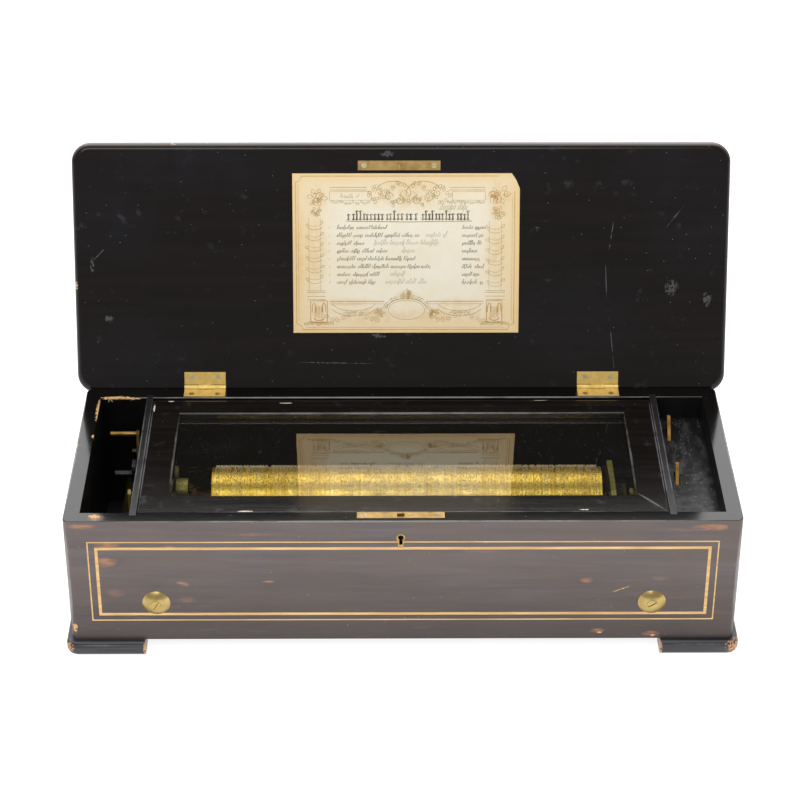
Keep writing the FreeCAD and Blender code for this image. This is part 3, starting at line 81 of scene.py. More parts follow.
def patches(tree, size, low, high, detail=4.0, seed=0.0, turn=(0, 0, 0)):
    """Mask from 0 to 1 of irregular patches, size in millimetres along x, y and z."""
    where = add(tree, "TexCoord")
    place = add(tree, "Mapping", {"Vector": where.outputs["Object"], "Rotation": turn,
                                  "Scale": [1 / (s * MM) for s in size],
                                  "Location": (seed, 1.7 * seed, 0.6 * seed)})
    noise = add(tree, "TexNoise", {"Vector": place.outputs[0], "Scale": 1.0, "Detail": detail,
                                   "Roughness": 0.6})
    return add(tree, "MapRange", {"Value": noise.outputs["Fac"], "From Min": low,
                                  "From Max": high}, interpolation_type="SMOOTHSTEP").outputs[0]


def marks(tree, places, ragged=(6.0, 6.0, 6.0), bite=0.9, edge=(0.34, 0.46), seed=3.0):
    """Mask of marks with ragged edges: worn patches, chips, stains and painted edge highlights.

    Each place is a middle, half sizes and optionally a turn about each axis, in metres and radians.
    """
    where = add(tree, "TexCoord")
    mask = None
    for place in places:
        middle, half = place[:2]
        turn = place[2] if len(place) > 2 else (0, 0, 0)
        local = add(tree, "Mapping", {"Vector": where.outputs["Object"], "Location": middle,
                                      "Scale": half, "Rotation": turn}, vector_type="TEXTURE")
        ball = add(tree, "TexGradient", {"Vector": local.outputs[0]}, gradient_type="SPHERICAL")
        if mask is None:
            mask = ball.outputs["Fac"]
        else:
            mask = add(tree, "Math", {0: mask, 1: ball.outputs["Fac"]},
                       operation="MAXIMUM").outputs[0]
    noise = patches(tree, ragged, 0.3, 0.7, seed=seed)
    torn = add(tree, "Math", {0: noise, 1: bite, 2: -0.5 * bite}, operation="MULTIPLY_ADD")
    inside = add(tree, "Math", {0: torn.outputs[0], 1: mask}, operation="MULTIPLY")
    rough = add(tree, "Math", {0: mask, 1: inside.outputs[0]}, operation="ADD")
    return add(tree, "MapRange", {"Value": rough.outputs[0], "From Min": edge[0],
                                  "From Max": edge[1]}).outputs[0]


def specks(tree, spacing, share, seed=0.0, stretch=(1, 1, 1)):
    """Mask of small round specks: spacing in millimetres, share of it that a speck fills."""
    where = add(tree, "TexCoord")
    place = add(tree, "Mapping", {"Vector": where.outputs["Object"], "Location": (seed, seed, seed),
                                  "Scale": [1 / (spacing * s * MM) for s in stretch]})
    cells = add(tree, "TexVoronoi", {"Vector": place.outputs[0], "Scale": 1.0,
                                     "Randomness": 1.0})
    return add(tree, "MapRange", {"Value": cells.outputs["Distance"], "From Min": share,
                                  "From Max": 0.6 * share}).outputs[0]


def over(tree, under, upper, mask):
    """Colour of one layer over another where the mask is 1."""
    return add(tree, "Mix", {0: mask, 6: under, 7: upper}, data_type="RGBA").outputs[2]


def times(tree, a, b):
    return add(tree, "Math", {0: a, 1: b}, operation="MULTIPLY").outputs[0]


def bump(tree, shader, height, depth_mm, strength=1.0):
    node = add(tree, "Bump", {"Height": height, "Distance": depth_mm * MM, "Strength": strength})
    tree.links.new(node.outputs[0], shader.inputs["Normal"])


def roughen(tree, shader, mask, low, high):
    """Roughness from low to high along with a mask."""
    rough = add(tree, "MapRange", {"Value": mask, "To Min": low, "To Max": high})
    tree.links.new(rough.outputs[0], shader.inputs["Roughness"])


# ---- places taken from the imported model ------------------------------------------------
def span(name):
    low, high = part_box(name)
    return Vector(low), Vector(high)


front_low, front_high = span("front_board")
back_low, back_high = span("back_board")
left_low, left_high = span("left_end")
right_high = span("right_end")[1]
RIM = front_high.z
FRONT = front_low.y
LEFT = left_low.x
RIGHT = right_high.x
FLOOR_OF_CASE = front_low.z
INNER_LEFT = left_high.x

hinge = next(j for j in frame["record"]["behaviour"]["joints"] if j["name"] == "lid_hinge")
lean = math.radians(-hinge["range_deg"][0])
HINGE = Vector(hinge["pos_m"])
LID_UP = Vector((0, -math.cos(lean), math.sin(lean)))
LID_OUT = Vector((0, -math.sin(lean), -math.cos(lean)))
CASE_MIDDLE = (front_low.y + back_high.y) / 2


def on_lid(x, up):
    """Point of the lid's inner face, in millimetres from the middle and up from the hinge."""
    return Vector((x * MM, HINGE.y, HINGE.z)) + LID_UP * (up * MM)


card_low, card_high = span("tune_card")
CARD_X = (card_low.x + card_high.x) / 2 / MM
CARD_UP = ((card_low + card_high) / 2 - HINGE).dot(LID_UP) / MM


def on_front(x, down):
    """Point of the front face, in millimetres from the middle and down from the rim."""
    return Vector((x * MM, FRONT, RIM - down * MM))


def on_rim(x, y):
    """Point at rim height, in millimetres from the middle of the case."""
    return Vector((x * MM, CASE_MIDDLE + y * MM, RIM))


# A painted edge highlight or a chipped arris is a long thin mark, which runs a little past both of its
# ends.
PAST_ENDS = 1.15


def along_x(x0, x1, y, z, radius):
    return ((x0 + x1) / 2, y, z), ((x1 - x0) / 2 * PAST_ENDS, radius, radius)


def along_y(y0, y1, x, z, radius):
    return (x, (y0 + y1) / 2, z), (radius, (y1 - y0) / 2 * PAST_ENDS, radius)


def along_z(z0, z1, x, y, radius):
    return (x, y, (z0 + z1) / 2), (radius, radius, (z1 - z0) / 2 * PAST_ENDS)


# ---- finishes --------------------------------------------------------------------------
def ebonised(name, wear, faint_wear, chips, arris_highlights, inward):
    """Ebonised pearwood, French polished: still black on the top of the rim, faded to a grey brown
    on the upright faces and darker towards the feet, worn to orange wood, chipped to raw wood.

    inward is the axis and sign of the face that looks into the case, which is stained black."""
    material, tree, shader = new_finish(name, IOR=1.5)
    where = add(tree, "TexCoord")
    facing = add(tree, "SeparateXYZ", {0: where.outputs["Normal"]})
    height = add(tree, "SeparateXYZ", {0: where.outputs["Object"]})
    top = add(tree, "MapRange", {"Value": facing.outputs["Z"], "From Min": 0.55, "From Max": 0.85})
    low = add(tree, "MapRange", {"Value": height.outputs["Z"], "From Min": RIM - 0.045,
                                 "From Max": FLOOR_OF_CASE})
    fine = patches(tree, (70, 70, 1.1), 0.3, 0.72, detail=4.0)
    figure = patches(tree, (110, 110, 9), 0.3, 0.72, detail=5.0, seed=3.0)
    cloud = patches(tree, (48, 48, 30), 0.35, 0.7, detail=3.0, seed=4.0)
    face = over(tree, linear("#5b5252"), linear("#6b6263"), figure)
    face = over(tree, face, linear("#594e4b"), times(tree, fine, 0.35))
    face = over(tree, face, linear("#66574e"), times(tree, cloud, 0.6))
    face = over(tree, face, linear("#372c28"), times(tree, low.outputs[0], 0.75))
    rub = patches(tree, (34, 34, 4), 0.55, 0.8, detail=5.0, seed=9.0)
    face = over(tree, face, linear("#7d5c4a"), times(tree, rub, 0.5))
    flecks = patches(tree, (7, 7, 0.9), 0.68, 0.8, detail=3.0, seed=11.0)
    face = over(tree, face, linear("#2d2524"), times(tree, flecks, 0.6))
    axis, sign = inward
    inner = add(tree, "MapRange", {"Value": facing.outputs[axis], "From Min": 0.6 * sign,
                                   "From Max": 0.8 * sign})
    face = over(tree, face, linear("#060505"), inner.outputs[0])
    polish = over(tree, linear("#090707"), linear("#131110"), figure)
    colour = over(tree, face, polish, top.outputs[0])
    worn = marks(tree, wear, ragged=(9, 9, 1.8), bite=1.5, edge=(0.04, 0.85), seed=2.0)
    colour = over(tree, colour, linear("#b98058"), times(tree, worn, 0.7))
    faint = marks(tree, faint_wear, ragged=(9, 9, 1.8), bite=1.5, edge=(0.04, 0.85), seed=8.0)
    colour = over(tree, colour, linear("#a0745a"), times(tree, faint, 0.35))
    # Painted highlight: pale grey lines along the arrises stand for light caught on the edges.
    pale = marks(tree, arris_highlights, ragged=(24, 24, 24), bite=0.8, edge=(0.12, 0.5), seed=7.0)
    colour = over(tree, colour, linear("#a09c9a"), times(tree, pale, 0.6))
    raw = marks(tree, chips, ragged=(1.6, 1.6, 1.6), bite=1.3, seed=5.0)
    colour = over(tree, colour, linear("#e2b170"), raw)
    dots = specks(tree, 9.0, 0.045, seed=2.0)
    colour = over(tree, colour, linear("#c8beb4"), times(tree, dots, 0.6))
    tree.links.new(colour, shader.inputs["Base Color"])
    smear = patches(tree, (30, 30, 30), 0.3, 0.7, seed=6.0)
    rough = add(tree, "MapRange", {"Value": smear, "To Min": 0.36, "To Max": 0.5})
    still_black = over(tree, rough.outputs[0], (0.1, 0.1, 0.1, 1), top.outputs[0])
    dull = over(tree, still_black, (0.75, 0.75, 0.75, 1), raw)
    tree.links.new(dull, shader.inputs["Roughness"])
    bump(tree, shader, fine, 0.03)
    return material


def black_polish(name, base, edge_highlights, chips, dust=0.35, roughness=0.22, index=1.5,
                 bare="#efe0c4", bite=1.0):
    """Black spirit polish over close-grained wood: deep, glossy, dusty and knocked at its edges, with
    painted highlight lines along them.
    """
    material, tree, shader = new_finish(name, IOR=index)
    grain = patches(tree, (120, 6, 6), 0.3, 0.75, detail=6.0)
    colour = over(tree, linear(base[0]), linear(base[1]), grain)
    bloom = patches(tree, (15, 15, 15), 0.56, 0.86, detail=8.0, seed=8.0)
    colour = over(tree, colour, linear("#4a4a52"), times(tree, bloom, dust))
    # Painted highlight: pale grey lines along the given edges stand for light caught on them.
    pale = marks(tree, edge_highlights, ragged=(16, 16, 16), bite=1.0, edge=(0.12, 0.6), seed=4.0)
    colour = over(tree, colour, linear("#7b797c"), times(tree, pale, 0.6))
    dots = specks(tree, 7.0, 0.05, seed=5.0)
    colour = over(tree, colour, linear("#a9a6a3"), times(tree, dots, 0.5))
    if chips:
        raw = marks(tree, chips, ragged=(2, 2, 2), bite=bite, edge=(0.3, 0.46), seed=1.0)
        colour = over(tree, colour, linear(bare), raw)
    tree.links.new(colour, shader.inputs["Base Color"])
    roughen(tree, shader, bloom, roughness, roughness + 0.2)
    bump(tree, shader, grain, 0.03)
    return material


def lid_lacquer():
    """Black lacquer gone faintly brown: glossy, with bluish smears and pale scratches where it has
    been handled, a painted highlight on its bullnose edges where they face up, and chipped along the free
    edge."""
    material, tree, shader = new_finish("aged_black_lacquer", IOR=1.36)
    where = add(tree, "TexCoord")
    grain = patches(tree, (130, 7, 7), 0.3, 0.75, detail=6.0)
    colour = over(tree, linear("#0d0806"), linear("#150e0b"), grain)
    cool = marks(tree, [
        (on_lid(-252, 150), (0.05, 0.02, 0.09)), (on_lid(-235, 28), (0.07, 0.03, 0.05)),
        (on_lid(262, 140), (0.06, 0.02, 0.11)), (on_lid(232, 190), (0.07, 0.02, 0.05)),
        (on_lid(60, 195), (0.12, 0.03, 0.03)), (on_lid(-180, 195), (0.13, 0.03, 0.03)),
        (on_lid(150, 60), (0.07, 0.03, 0.06))],
                 ragged=(30, 30, 30), bite=1.2, edge=(0.02, 0.9), seed=1.0)
    colour = over(tree, colour, linear("#20212a"), times(tree, cool, 0.25))
    smears = patches(tree, (13, 10, 13), 0.6, 0.85, detail=9.0, seed=12.0)
    colour = over(tree, colour, linear("#54555f"), times(tree, smears, 0.4))
    knocks = marks(tree, [
        (on_lid(-255, 62), (0.006, 0.006, 0.004)), (on_lid(235, 88), (0.008, 0.006, 0.012)),
        (on_lid(-268, 110), (0.003, 0.006, 0.012)), (on_lid(266, 78), (0.006, 0.006, 0.01)),
        (on_lid(-12, 205), (0.008, 0.006, 0.004)), (on_lid(-20, 46), (0.01, 0.006, 0.003)),
        (on_lid(84, 172), (0.003, 0.006, 0.003)), (on_lid(118, 140), (0.003, 0.006, 0.003))],
                   ragged=(3, 3, 3), bite=1.8, edge=(0.3, 0.7), seed=6.0)
    colour = over(tree, colour, linear("#77767c"), times(tree, knocks, 0.4))
    lines = marks(tree, [(on_lid(182, 136), (0.0005, 0.02, 0.024), (0, 0.14, 0)),
                         (on_lid(178, 92), (0.0005, 0.02, 0.03), (0, -0.05, 0)),
                         (on_lid(184, 38), (0.0005, 0.02, 0.042), (0, -0.12, 0)),
                         (on_lid(-262, 118), (0.0005, 0.02, 0.012), (0, 0.8, 0)),
                         (on_lid(-60, 22), (0.05, 0.02, 0.0005), (0, 0.02, 0)),
                         (on_lid(236, 150), (0.0005, 0.02, 0.016), (0, 0.7, 0))],
                  ragged=(4, 4, 4), bite=1.4, edge=(0.3, 0.8), seed=9.0)
    colour = over(tree, colour, linear("#77757a"), times(tree, lines, 0.7))
    dots = specks(tree, 7.5, 0.05, seed=5.0)
    colour = over(tree, colour, linear("#a9a6a3"), times(tree, dots, 0.6))
    facing = add(tree, "VectorMath", {0: where.outputs["Normal"], 1: LID_OUT},
                 operation="DOT_PRODUCT")
    turned = add(tree, "MapRange", {"Value": facing.outputs["Value"], "From Min": 0.85,
                                    "From Max": 0.45})
    under = add(tree, "SeparateXYZ", {0: where.outputs["Normal"]})
    skyward = add(tree, "MapRange", {"Value": under.outputs["Z"], "From Min": 0.35,
                                     "From Max": 0.75})
    # Painted highlight: the bullnose edge is made pale where it turns up towards the lights.
    bullnose_highlight = times(tree, turned.outputs[0], skyward.outputs[0])
    colour = over(tree, colour, linear("#8a7f7b"), times(tree, bullnose_highlight, 0.8))
    outside = times(tree, turned.outputs[0], patches(tree, (180, 16, 16), 0.25, 0.8, detail=5.0))
    colour = over(tree, colour, linear("#7a5f58"), times(tree, outside, 0.14))
    chips = marks(tree, [
        (on_lid(-28, 216), (0.012, 0.008, 0.0035)), (on_lid(10, 216), (0.01, 0.008, 0.003)),
        (on_lid(-196, 215), (0.006, 0.008, 0.004)), (on_lid(232, 215), (0.008, 0.008, 0.003)),
        (on_lid(-283, 90), (0.003, 0.008, 0.006))],
                  ragged=(1.8, 1.8, 1.8), bite=1.6, edge=(0.3, 0.5), seed=2.0)
    colour = over(tree, colour, linear("#cdb98a"), times(tree, chips, 0.8))
    tree.links.new(colour, shader.inputs["Base Color"])
    roughen(tree, shader, smears, 0.18, 0.42)
    bump(tree, shader, grain, 0.03)
    return material


def plain_wood(name, dark, light, grain=(90, 5, 5), roughness=0.6, dust=0.0):
    """Stained deal of the inside, dull and dusty where a hand does not reach."""
    material, tree, shader = new_finish(name, IOR=1.5)
    lines = patches(tree, grain, 0.3, 0.7, detail=6.0)
    colour = over(tree, linear(dark), linear(light), lines)
    if dust:
        film = patches(tree, (14, 14, 14), 0.42, 0.72, detail=7.0, seed=3.0)
        colour = over(tree, colour, linear("#77787c"), times(tree, film, dust))
        grit = specks(tree, 2.6, 0.16, seed=1.0)
        colour = over(tree, colour, linear("#a3a3a6"), times(tree, times(tree, grit, film), dust))
    tree.links.new(colour, shader.inputs["Base Color"])
    roughen(tree, shader, lines, roughness - 0.08, roughness + 0.1)
    bump(tree, shader, lines, 0.08)
    return material


def dusty_board():
    """Black stained board at the bottom of the lever bay, streaked with grey dust that has
    gathered towards the front."""
    low, high = span("control_board")
    material, tree, shader = new_finish("dusty_black_board", IOR=1.5)
    where = add(tree, "TexCoord")
    place = add(tree, "SeparateXYZ", {0: where.outputs["Object"]})
    near = add(tree, "MapRange", {"Value": place.outputs["Y"], "From Min": high.y - 0.02,
                                  "From Max": low.y + 0.03})
    streaks = patches(tree, (8, 22, 8), 0.46, 0.74, detail=12.0, seed=3.0, turn=(0, 0, 0.4))
    grit = specks(tree, 3.2, 0.13, seed=1.0)
    colour = over(tree, linear("#080708"), linear("#121114"), patches(tree, (20, 60, 9), 0.3, 0.7))
    colour = over(tree, colour, linear("#4a4d53"), times(tree, streaks, 0.2))
    front_dust = times(tree, patches(tree, (9, 9, 9), 0.4, 0.66, detail=9.0, seed=6.0),
                       near.outputs[0])
    colour = over(tree, colour, linear("#7d8085"), times(tree, front_dust, 0.24))
    colour = over(tree, colour, linear("#c9cacc"), times(tree, grit, 0.6))
    tree.links.new(colour, shader.inputs["Base Color"])
    roughen(tree, shader, streaks, 0.3, 0.8)
    bump(tree, shader, streaks, 0.1)
    return material


def metal(name, colour_hex, dark_hex, roughness=0.3, brushed=(4, 4, 4), stain=0.5, metallic=1.0,
          filed=0.02):
    """Old metal: bright where it is handled, browner where it is not, with fine file marks."""
    material, tree, shader = new_finish(name, Metallic=metallic)
    film = patches(tree, (9, 9, 9), 0.35, 0.75, detail=6.0, seed=2.0)
    lines = patches(tree, brushed, 0.3, 0.7, detail=3.0, seed=5.0)
    colour = over(tree, linear(colour_hex), linear(dark_hex), times(tree, film, stain))
    colour = over(tree, colour, linear(dark_hex), times(tree, lines, 0.25))
    tree.links.new(colour, shader.inputs["Base Color"])
    roughen(tree, shader, film, roughness, roughness + 0.2)
    bump(tree, shader, lines, filed)
    return material


def cylinder_brass():
    """Rolled brass tube, turned: fine rings round it, dark prick marks, warm where it is bare."""
    material, tree, shader = new_finish("turned_brass", Metallic=0.85)
    rings = patches(tree, (1.6, 400, 400), 0.35, 0.65, detail=2.0)
    wide_rings = patches(tree, (9, 300, 300), 0.35, 0.7, detail=3.0, seed=3.0)
    film = patches(tree, (16, 12, 12), 0.35, 0.75, detail=6.0, seed=6.0)
    pricks = specks(tree, 1.9, 0.3, seed=2.0)
    blots = patches(tree, (2.4, 1.6, 1.6), 0.6, 0.72, detail=4.0, seed=4.0)
    colour = over(tree, linear("#f6c64a"), linear("#bf8f30"), times(tree, rings, 0.7))
    colour = over(tree, colour, linear("#f8da7c"), times(tree, wide_rings, 0.5))
    colour = over(tree, colour, linear("#a17c32"), times(tree, film, 0.35))
    colour = over(tree, colour, linear("#7d5f24"), times(tree, blots, 0.35))
    colour = over(tree, colour, linear("#4a3712"), times(tree, pricks, 0.6))
    tree.links.new(colour, shader.inputs["Base Color"])
    roughen(tree, shader, film, 0.3, 0.48)
    bump(tree, shader, rings, 0.05)
    return material


def pane_glass():
    """Old drawn window glass: clear, and it mirrors the lid and the card that stand behind it.

    The face that light enters by mirrors for both faces of the pane, so its share is raised."""
    both_gain = 3.5
    material, tree, shader = new_finish("window_glass")
    fresnel = add(tree, "Fresnel", {"IOR": 1.5})
    side = add(tree, "NewGeometry")
    both_faces = add(tree, "Math", {0: fresnel.outputs[0], 1: both_gain}, operation="MULTIPLY",
                     use_clamp=True)
    entering = add(tree, "Math", {0: 1.0, 1: side.outputs["Backfacing"]}, operation="SUBTRACT")
    mirror = times(tree, both_faces.outputs[0], entering.outputs[0])
    clear = add(tree, "BsdfTransparent", {"Color": (0.94, 0.96, 0.95, 1)})
    gloss = add(tree, "BsdfGlossy", {"Color": (1.0, 0.95, 0.86, 1), "Roughness": 0.015})
    wave = patches(tree, (60, 60, 60), 0.2, 0.8, detail=1.0)
    wobble = add(tree, "Bump", {"Height": wave, "Distance": 0.04 * MM, "Strength": 0.5})
    tree.links.new(wobble.outputs[0], gloss.inputs["Normal"])
    specked = specks(tree, 4.5, 0.085, seed=8.0)
    film = patches(tree, (60, 60, 60), 0.5, 0.85, detail=5.0, seed=2.0)
    dull = add(tree, "Math", {0: times(tree, film, 0.014), 1: times(tree, specked, 0.42)},
               operation="ADD")
    dusty = add(tree, "BsdfDiffuse", {"Color": linear("#a9b0c2")})
    both = add(tree, "MixShader", {0: mirror, 1: clear.outputs[0], 2: gloss.outputs[0]})
    dust = add(tree, "MixShader", {0: dull.outputs[0], 1: both.outputs[0], 2: dusty.outputs[0]})
    tree.links.new(dust.outputs[0], tree.nodes["Material Output"].inputs["Surface"])
    tree.nodes.remove(shader)
    return material


def paper():
    """Printed card: cream in the middle, toasted towards its edges."""
    low, high = span("tune_card")
    middle = (low + high) / 2
    half = (high - low) / 2
    material, tree, shader = new_finish("tune_paper", Roughness=0.85, IOR=1.45)
    where = add(tree, "TexCoord")
    local = add(tree, "Mapping", {"Vector": where.outputs["Object"], "Location": middle,
                                  "Scale": (half.x, 1.0, half.z)}, vector_type="TEXTURE")
    axes = add(tree, "SeparateXYZ", {0: local.outputs[0]})
    sides = []
    for axis in ("X", "Z"):
        far = add(tree, "Math", {0: axes.outputs[axis]}, operation="ABSOLUTE")
        sides.append(add(tree, "Math", {0: far.outputs[0], 1: 5.0}, operation="POWER").outputs[0])
    edge = add(tree, "Math", {0: sides[0], 1: sides[1]}, operation="MAXIMUM").outputs[0]
    cloud = patches(tree, (28, 28, 28), 0.25, 0.8, detail=5.0)
    fibre = patches(tree, (1.5, 1.5, 1.5), 0.3, 0.7, detail=3.0)
    colour = over(tree, linear("#fbf5e4"), linear("#f5e6c2"), times(tree, cloud, 0.5))
    colour = over(tree, colour, linear("#f2cd86"), times(tree, edge, 0.85))
    colour = over(tree, colour, linear("#dcc99f"), times(tree, fibre, 0.12))
    wash = marks(tree, [(on_lid(CARD_X + x, CARD_UP + v), half) for x, v, half in (
        (-77, 49, (0.013, 0.02, 0.014)), (80, 50, (0.015, 0.02, 0.016)), (79, 36, (0.01, 0.02, 0.009)),
        (-76, -51, (0.014, 0.02, 0.016)), (77, -51, (0.013, 0.02, 0.017)), (-92, 0, (0.006, 0.02, 0.09)),
        (-48, -43, (0.03, 0.02, 0.005)), (44, -44, (0.028, 0.02, 0.006)), (0, -38, (0.012, 0.02, 0.007)),
        (-80, 0, (0.014, 0.02, 0.06)), (78, 0, (0.012, 0.02, 0.05)), (2, 50, (0.045, 0.02, 0.016)),
        (-30, -54, (0.05, 0.02, 0.01)), (35, -54, (0.05, 0.02, 0.01)))],
        ragged=(6, 6, 6), bite=1.4, edge=(0.02, 0.95), seed=4.0)
    colour = over(tree, colour, linear("#e6b765"), times(tree, wash, 0.38))
    tree.links.new(colour, shader.inputs["Base Color"])
    bump(tree, shader, fibre, 0.03)
    return material


# ---- camera, light, floor ---------------------------------------------------------------
def place_camera():
    """Long lens, a little above the open case and almost square to its front."""
    down, turned, rolled = 32.112, -0.503, 0.171
    camera = bpy.data.objects.new("camera", bpy.data.cameras.new("camera"))
    bpy.context.collection.objects.link(camera)
    camera.data.sensor_width = 36.0
    camera.data.lens = 108.04
    eye = Vector((-0.01693, CASE_MIDDLE - 1.68725, RIM + 1.11048))
    turn = (Matrix.Rotation(math.radians(turned), 4, "Z")
            @ Matrix.Rotation(math.radians(90 - down), 4, "X")
            @ Matrix.Rotation(math.radians(rolled), 4, "Z"))
    camera.matrix_world = Matrix.Translation(eye) @ turn
    bpy.context.scene.camera = camera


def softbox(name, place, aim, width, height, radiance):
    """Soft rectangular lamp whose brightness stays the same when its size changes."""
    lamp = bpy.data.lights.new(name, "AREA")
    lamp.shape = "RECTANGLE"
    lamp.size = width
    lamp.size_y = height
    lamp.energy = radiance * math.pi * width * height
    holder = bpy.data.objects.new(name, lamp)
    bpy.context.collection.objects.link(holder)
    holder.matrix_world = (Matrix.Translation(place)
                           @ (Vector(aim) - Vector(place)).to_track_quat("-Z", "Y").to_matrix().to_4x4())


def light_room():
    """Pale room: soft light from above and behind, and a key light from the front left."""
    world = bpy.data.worlds.new("room")
    world.use_nodes = True
    world.node_tree.nodes["Background"].inputs["Color"].default_value = (1.0, 1.0, 1.0, 1)
    world.node_tree.nodes["Background"].inputs["Strength"].default_value = 0.45
    bpy.context.scene.world = world
    softbox("ceiling", (0, 0.85, 2.2), (0, 0.3, 0), 2.6, 1.9, 2.2)
    softbox("behind", (0, 2.4, 1.75), (0, 0, 0.1), 3.4, 1.4, 2.6)
    softbox("key", (-0.6, -1.95, 2.3), (0, 0, 0.15), 2.2, 1.0, 4.1)
    bpy.context.scene.view_settings.view_transform = "Standard"


def lay_floor():
    builder = bmesh.new()
    bmesh.ops.create_grid(builder, x_segments=1, y_segments=1, size=6.0)
    mesh = bpy.data.meshes.new("floor")
    builder.to_mesh(mesh)
    builder.free()
    floor = bpy.data.objects.new("floor", mesh)
    bpy.context.collection.objects.link(floor)
    material = new_finish("white_paper_sweep", Roughness=0.9, Base_Color=linear("#bdbdbd"),
                          Emission_Color=(1, 1, 1, 1), Emission_Strength=0.85)[0]
    mesh.materials.append(material)


def coat(name, material):
    """Gives a node of the model its finish."""
    slots = nodes[name].data.materials
    slots.clear()
    slots.append(material)


def new_piece(name, builder, body, material):
    bmesh.ops.recalc_face_normals(builder, faces=builder.faces)
    mesh = bpy.data.meshes.new(name)
    builder.to_mesh(mesh)
    builder.free()
    mesh.materials.append(material)
    piece = bpy.data.objects.new(name, mesh)
    bpy.context.collection.objects.link(piece)
    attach(piece, body)
    return piece


# ---- cylinder pins ----------------------------------------------------------------------
def cylinder_pins(material):
    """Steel pins in tracks round the cylinder: small three-sided pegs, their feet in the brass. They
    are drawn thicker than real ones, which are too fine to show."""
    low, high = span("cylinder_shell")
    axis_y = (low.y + high.y) / 2
    axis_z = (low.z + high.z) / 2
    radius = (high.z - low.z) / 2
    stands = 1.4 * MM
    thick = 0.3 * MM
    sunk = 0.1 * MM
    track = 1.24 * MM
    bare_end = 3.0 * MM
    bridge = 0.12           # radians without pins on each side of the joint between two tunes
    draw = random.Random(7)
    builder = bmesh.new()
    x = low.x + bare_end
    while x < high.x - bare_end:
        for _ in range(draw.randint(34, 56)):
            angle = draw.uniform(bridge, 2 * math.pi - bridge)
            out = Vector((0, math.cos(angle), math.sin(angle)))
            round_it = Vector((0, -math.sin(angle), math.cos(angle)))
            foot = Vector((x, axis_y, axis_z)) + out * (radius - sunk)
            ring = []
            for corner in range(3):
                a = 2 * math.pi * corner / 3
                ring.append(foot + Vector((1, 0, 0)) * thick * math.cos(a)
                            + round_it * thick * math.sin(a))
            feet = [builder.verts.new(p) for p in ring]
            tips = [builder.verts.new(p + out * (stands + sunk)) for p in ring]
            builder.faces.new(feet[::-1])
            builder.faces.new(tips)
            for i in range(3):
                j = (i + 1) % 3
                builder.faces.new((feet[i], feet[j], tips[j], tips[i]))
        x += track
    return new_piece("cylinder_pins", builder, "cylinder", material)


# ---- printed and written card ------------------------------------------------------------
class Card:
    """Strokes laid on the face of the card, in millimetres from its middle."""

    def __init__(self):
        sheet = nodes["tune_card"]
        points = [sheet.matrix_world @ v.co for v in sheet.data.vertices]
        ups = [p.dot(LID_UP) for p in points]
        outs = [p.dot(LID_OUT) for p in points]
        across = [p.x for p in points]
        self.middle = (Vector(((min(across) + max(across)) / 2, 0, 0))
                       + LID_UP * (min(ups) + max(ups)) / 2 + LID_OUT * max(outs))
        self.inks = {}

    def at(self, x, v, raised):
        return self.middle + Vector((x * MM, 0, 0)) + LID_UP * (v * MM) + LID_OUT * (raised * MM)

    def stroke(self, ink, points, width):
        """A pen line: a very thin closed strip along the points."""
        if ink not in self.inks:
            self.inks[ink] = bmesh.new()
        builder = self.inks[ink]
        low, high = 0.005, 0.04
        rows = []
        last = len(points) - 1
        for i, (x, v) in enumerate(points):
            ax, av = points[max(i - 1, 0)]
            bx, bv = points[min(i + 1, last)]
            length = math.hypot(bx - ax, bv - av) or 1.0
            sx = -(bv - av) / length * width / 2
            sv = (bx - ax) / length * width / 2
            rows.append([builder.verts.new(self.at(x + k * sx, v + k * sv, r))
                         for k, r in ((1, low), (1, high), (-1, high), (-1, low))])
        for a, b in zip(rows, rows[1:]):
            for i in range(4):
                j = (i + 1) % 4
                builder.faces.new((a[i], a[j], b[j], b[i]))
        builder.faces.new(rows[0][::-1])
        builder.faces.new(rows[-1])

    def line(self, ink, x0, v0, x1, v1, width):
        self.stroke(ink, [(x0, v0), (x1, v1)], width)

    def finish(self, materials):
        for ink, builder in self.inks.items():
            new_piece("card_" + ink, builder, "lid", materials[ink])


def arc(x, v, rx, rv, start, end, steps=14):
    turn = [math.radians(start + (end - start) * i / steps) for i in range(steps + 1)]
    return [(x + rx * math.cos(t), v + rv * math.sin(t)) for t in turn]


def curl(x, v, size, start, turns=1.3, hand=1, steps=18):
    """A scroll that winds in."""
    points = []
    for i in range(steps + 1):
        t = i / steps
        r = size * (1 - 0.85 * t)
        a = math.radians(start) + hand * 2 * math.pi * turns * t
        points.append((x + r * math.cos(a), v + r * math.sin(a)))
    return points


def writing(draw, x0, x1, v, tall=2.0):
    """Illegible copperplate: loops of varying height from x0 to x1."""
    points = []
    x = x0
    lean = 0.35
    while x < x1:
        wide = draw.uniform(1.05, 1.7)
        high = tall * draw.choice((0.8, 0.9, 1.0, 1.0, 1.0, 1.7, 1.9))
        drop = tall * draw.choice((0.0, 0.0, 0.0, 0.0, 0.7))
        loop = draw.uniform(0.1, 0.5)
        points += [(x, v), (x + wide * 0.35 + lean * high * 0.5, v + high * 0.5),
                   (x + wide * 0.5 + lean * high, v + high),
                   (x + wide * (0.4 - loop) + lean * high * 0.85, v + high * 0.82),
                   (x + wide * 0.55, v + high * 0.1 - drop)]
        x += wide
    return points


def words(card, draw, ink, x0, x1, v, width, tall=2.0):
    x = x0
    while x < x1 - 2.0:
        end = min(x1, x + draw.uniform(7.0, 16.0))
        card.stroke(ink, writing(draw, x, end, v, tall), width)
        x = end + draw.uniform(1.8, 2.8)


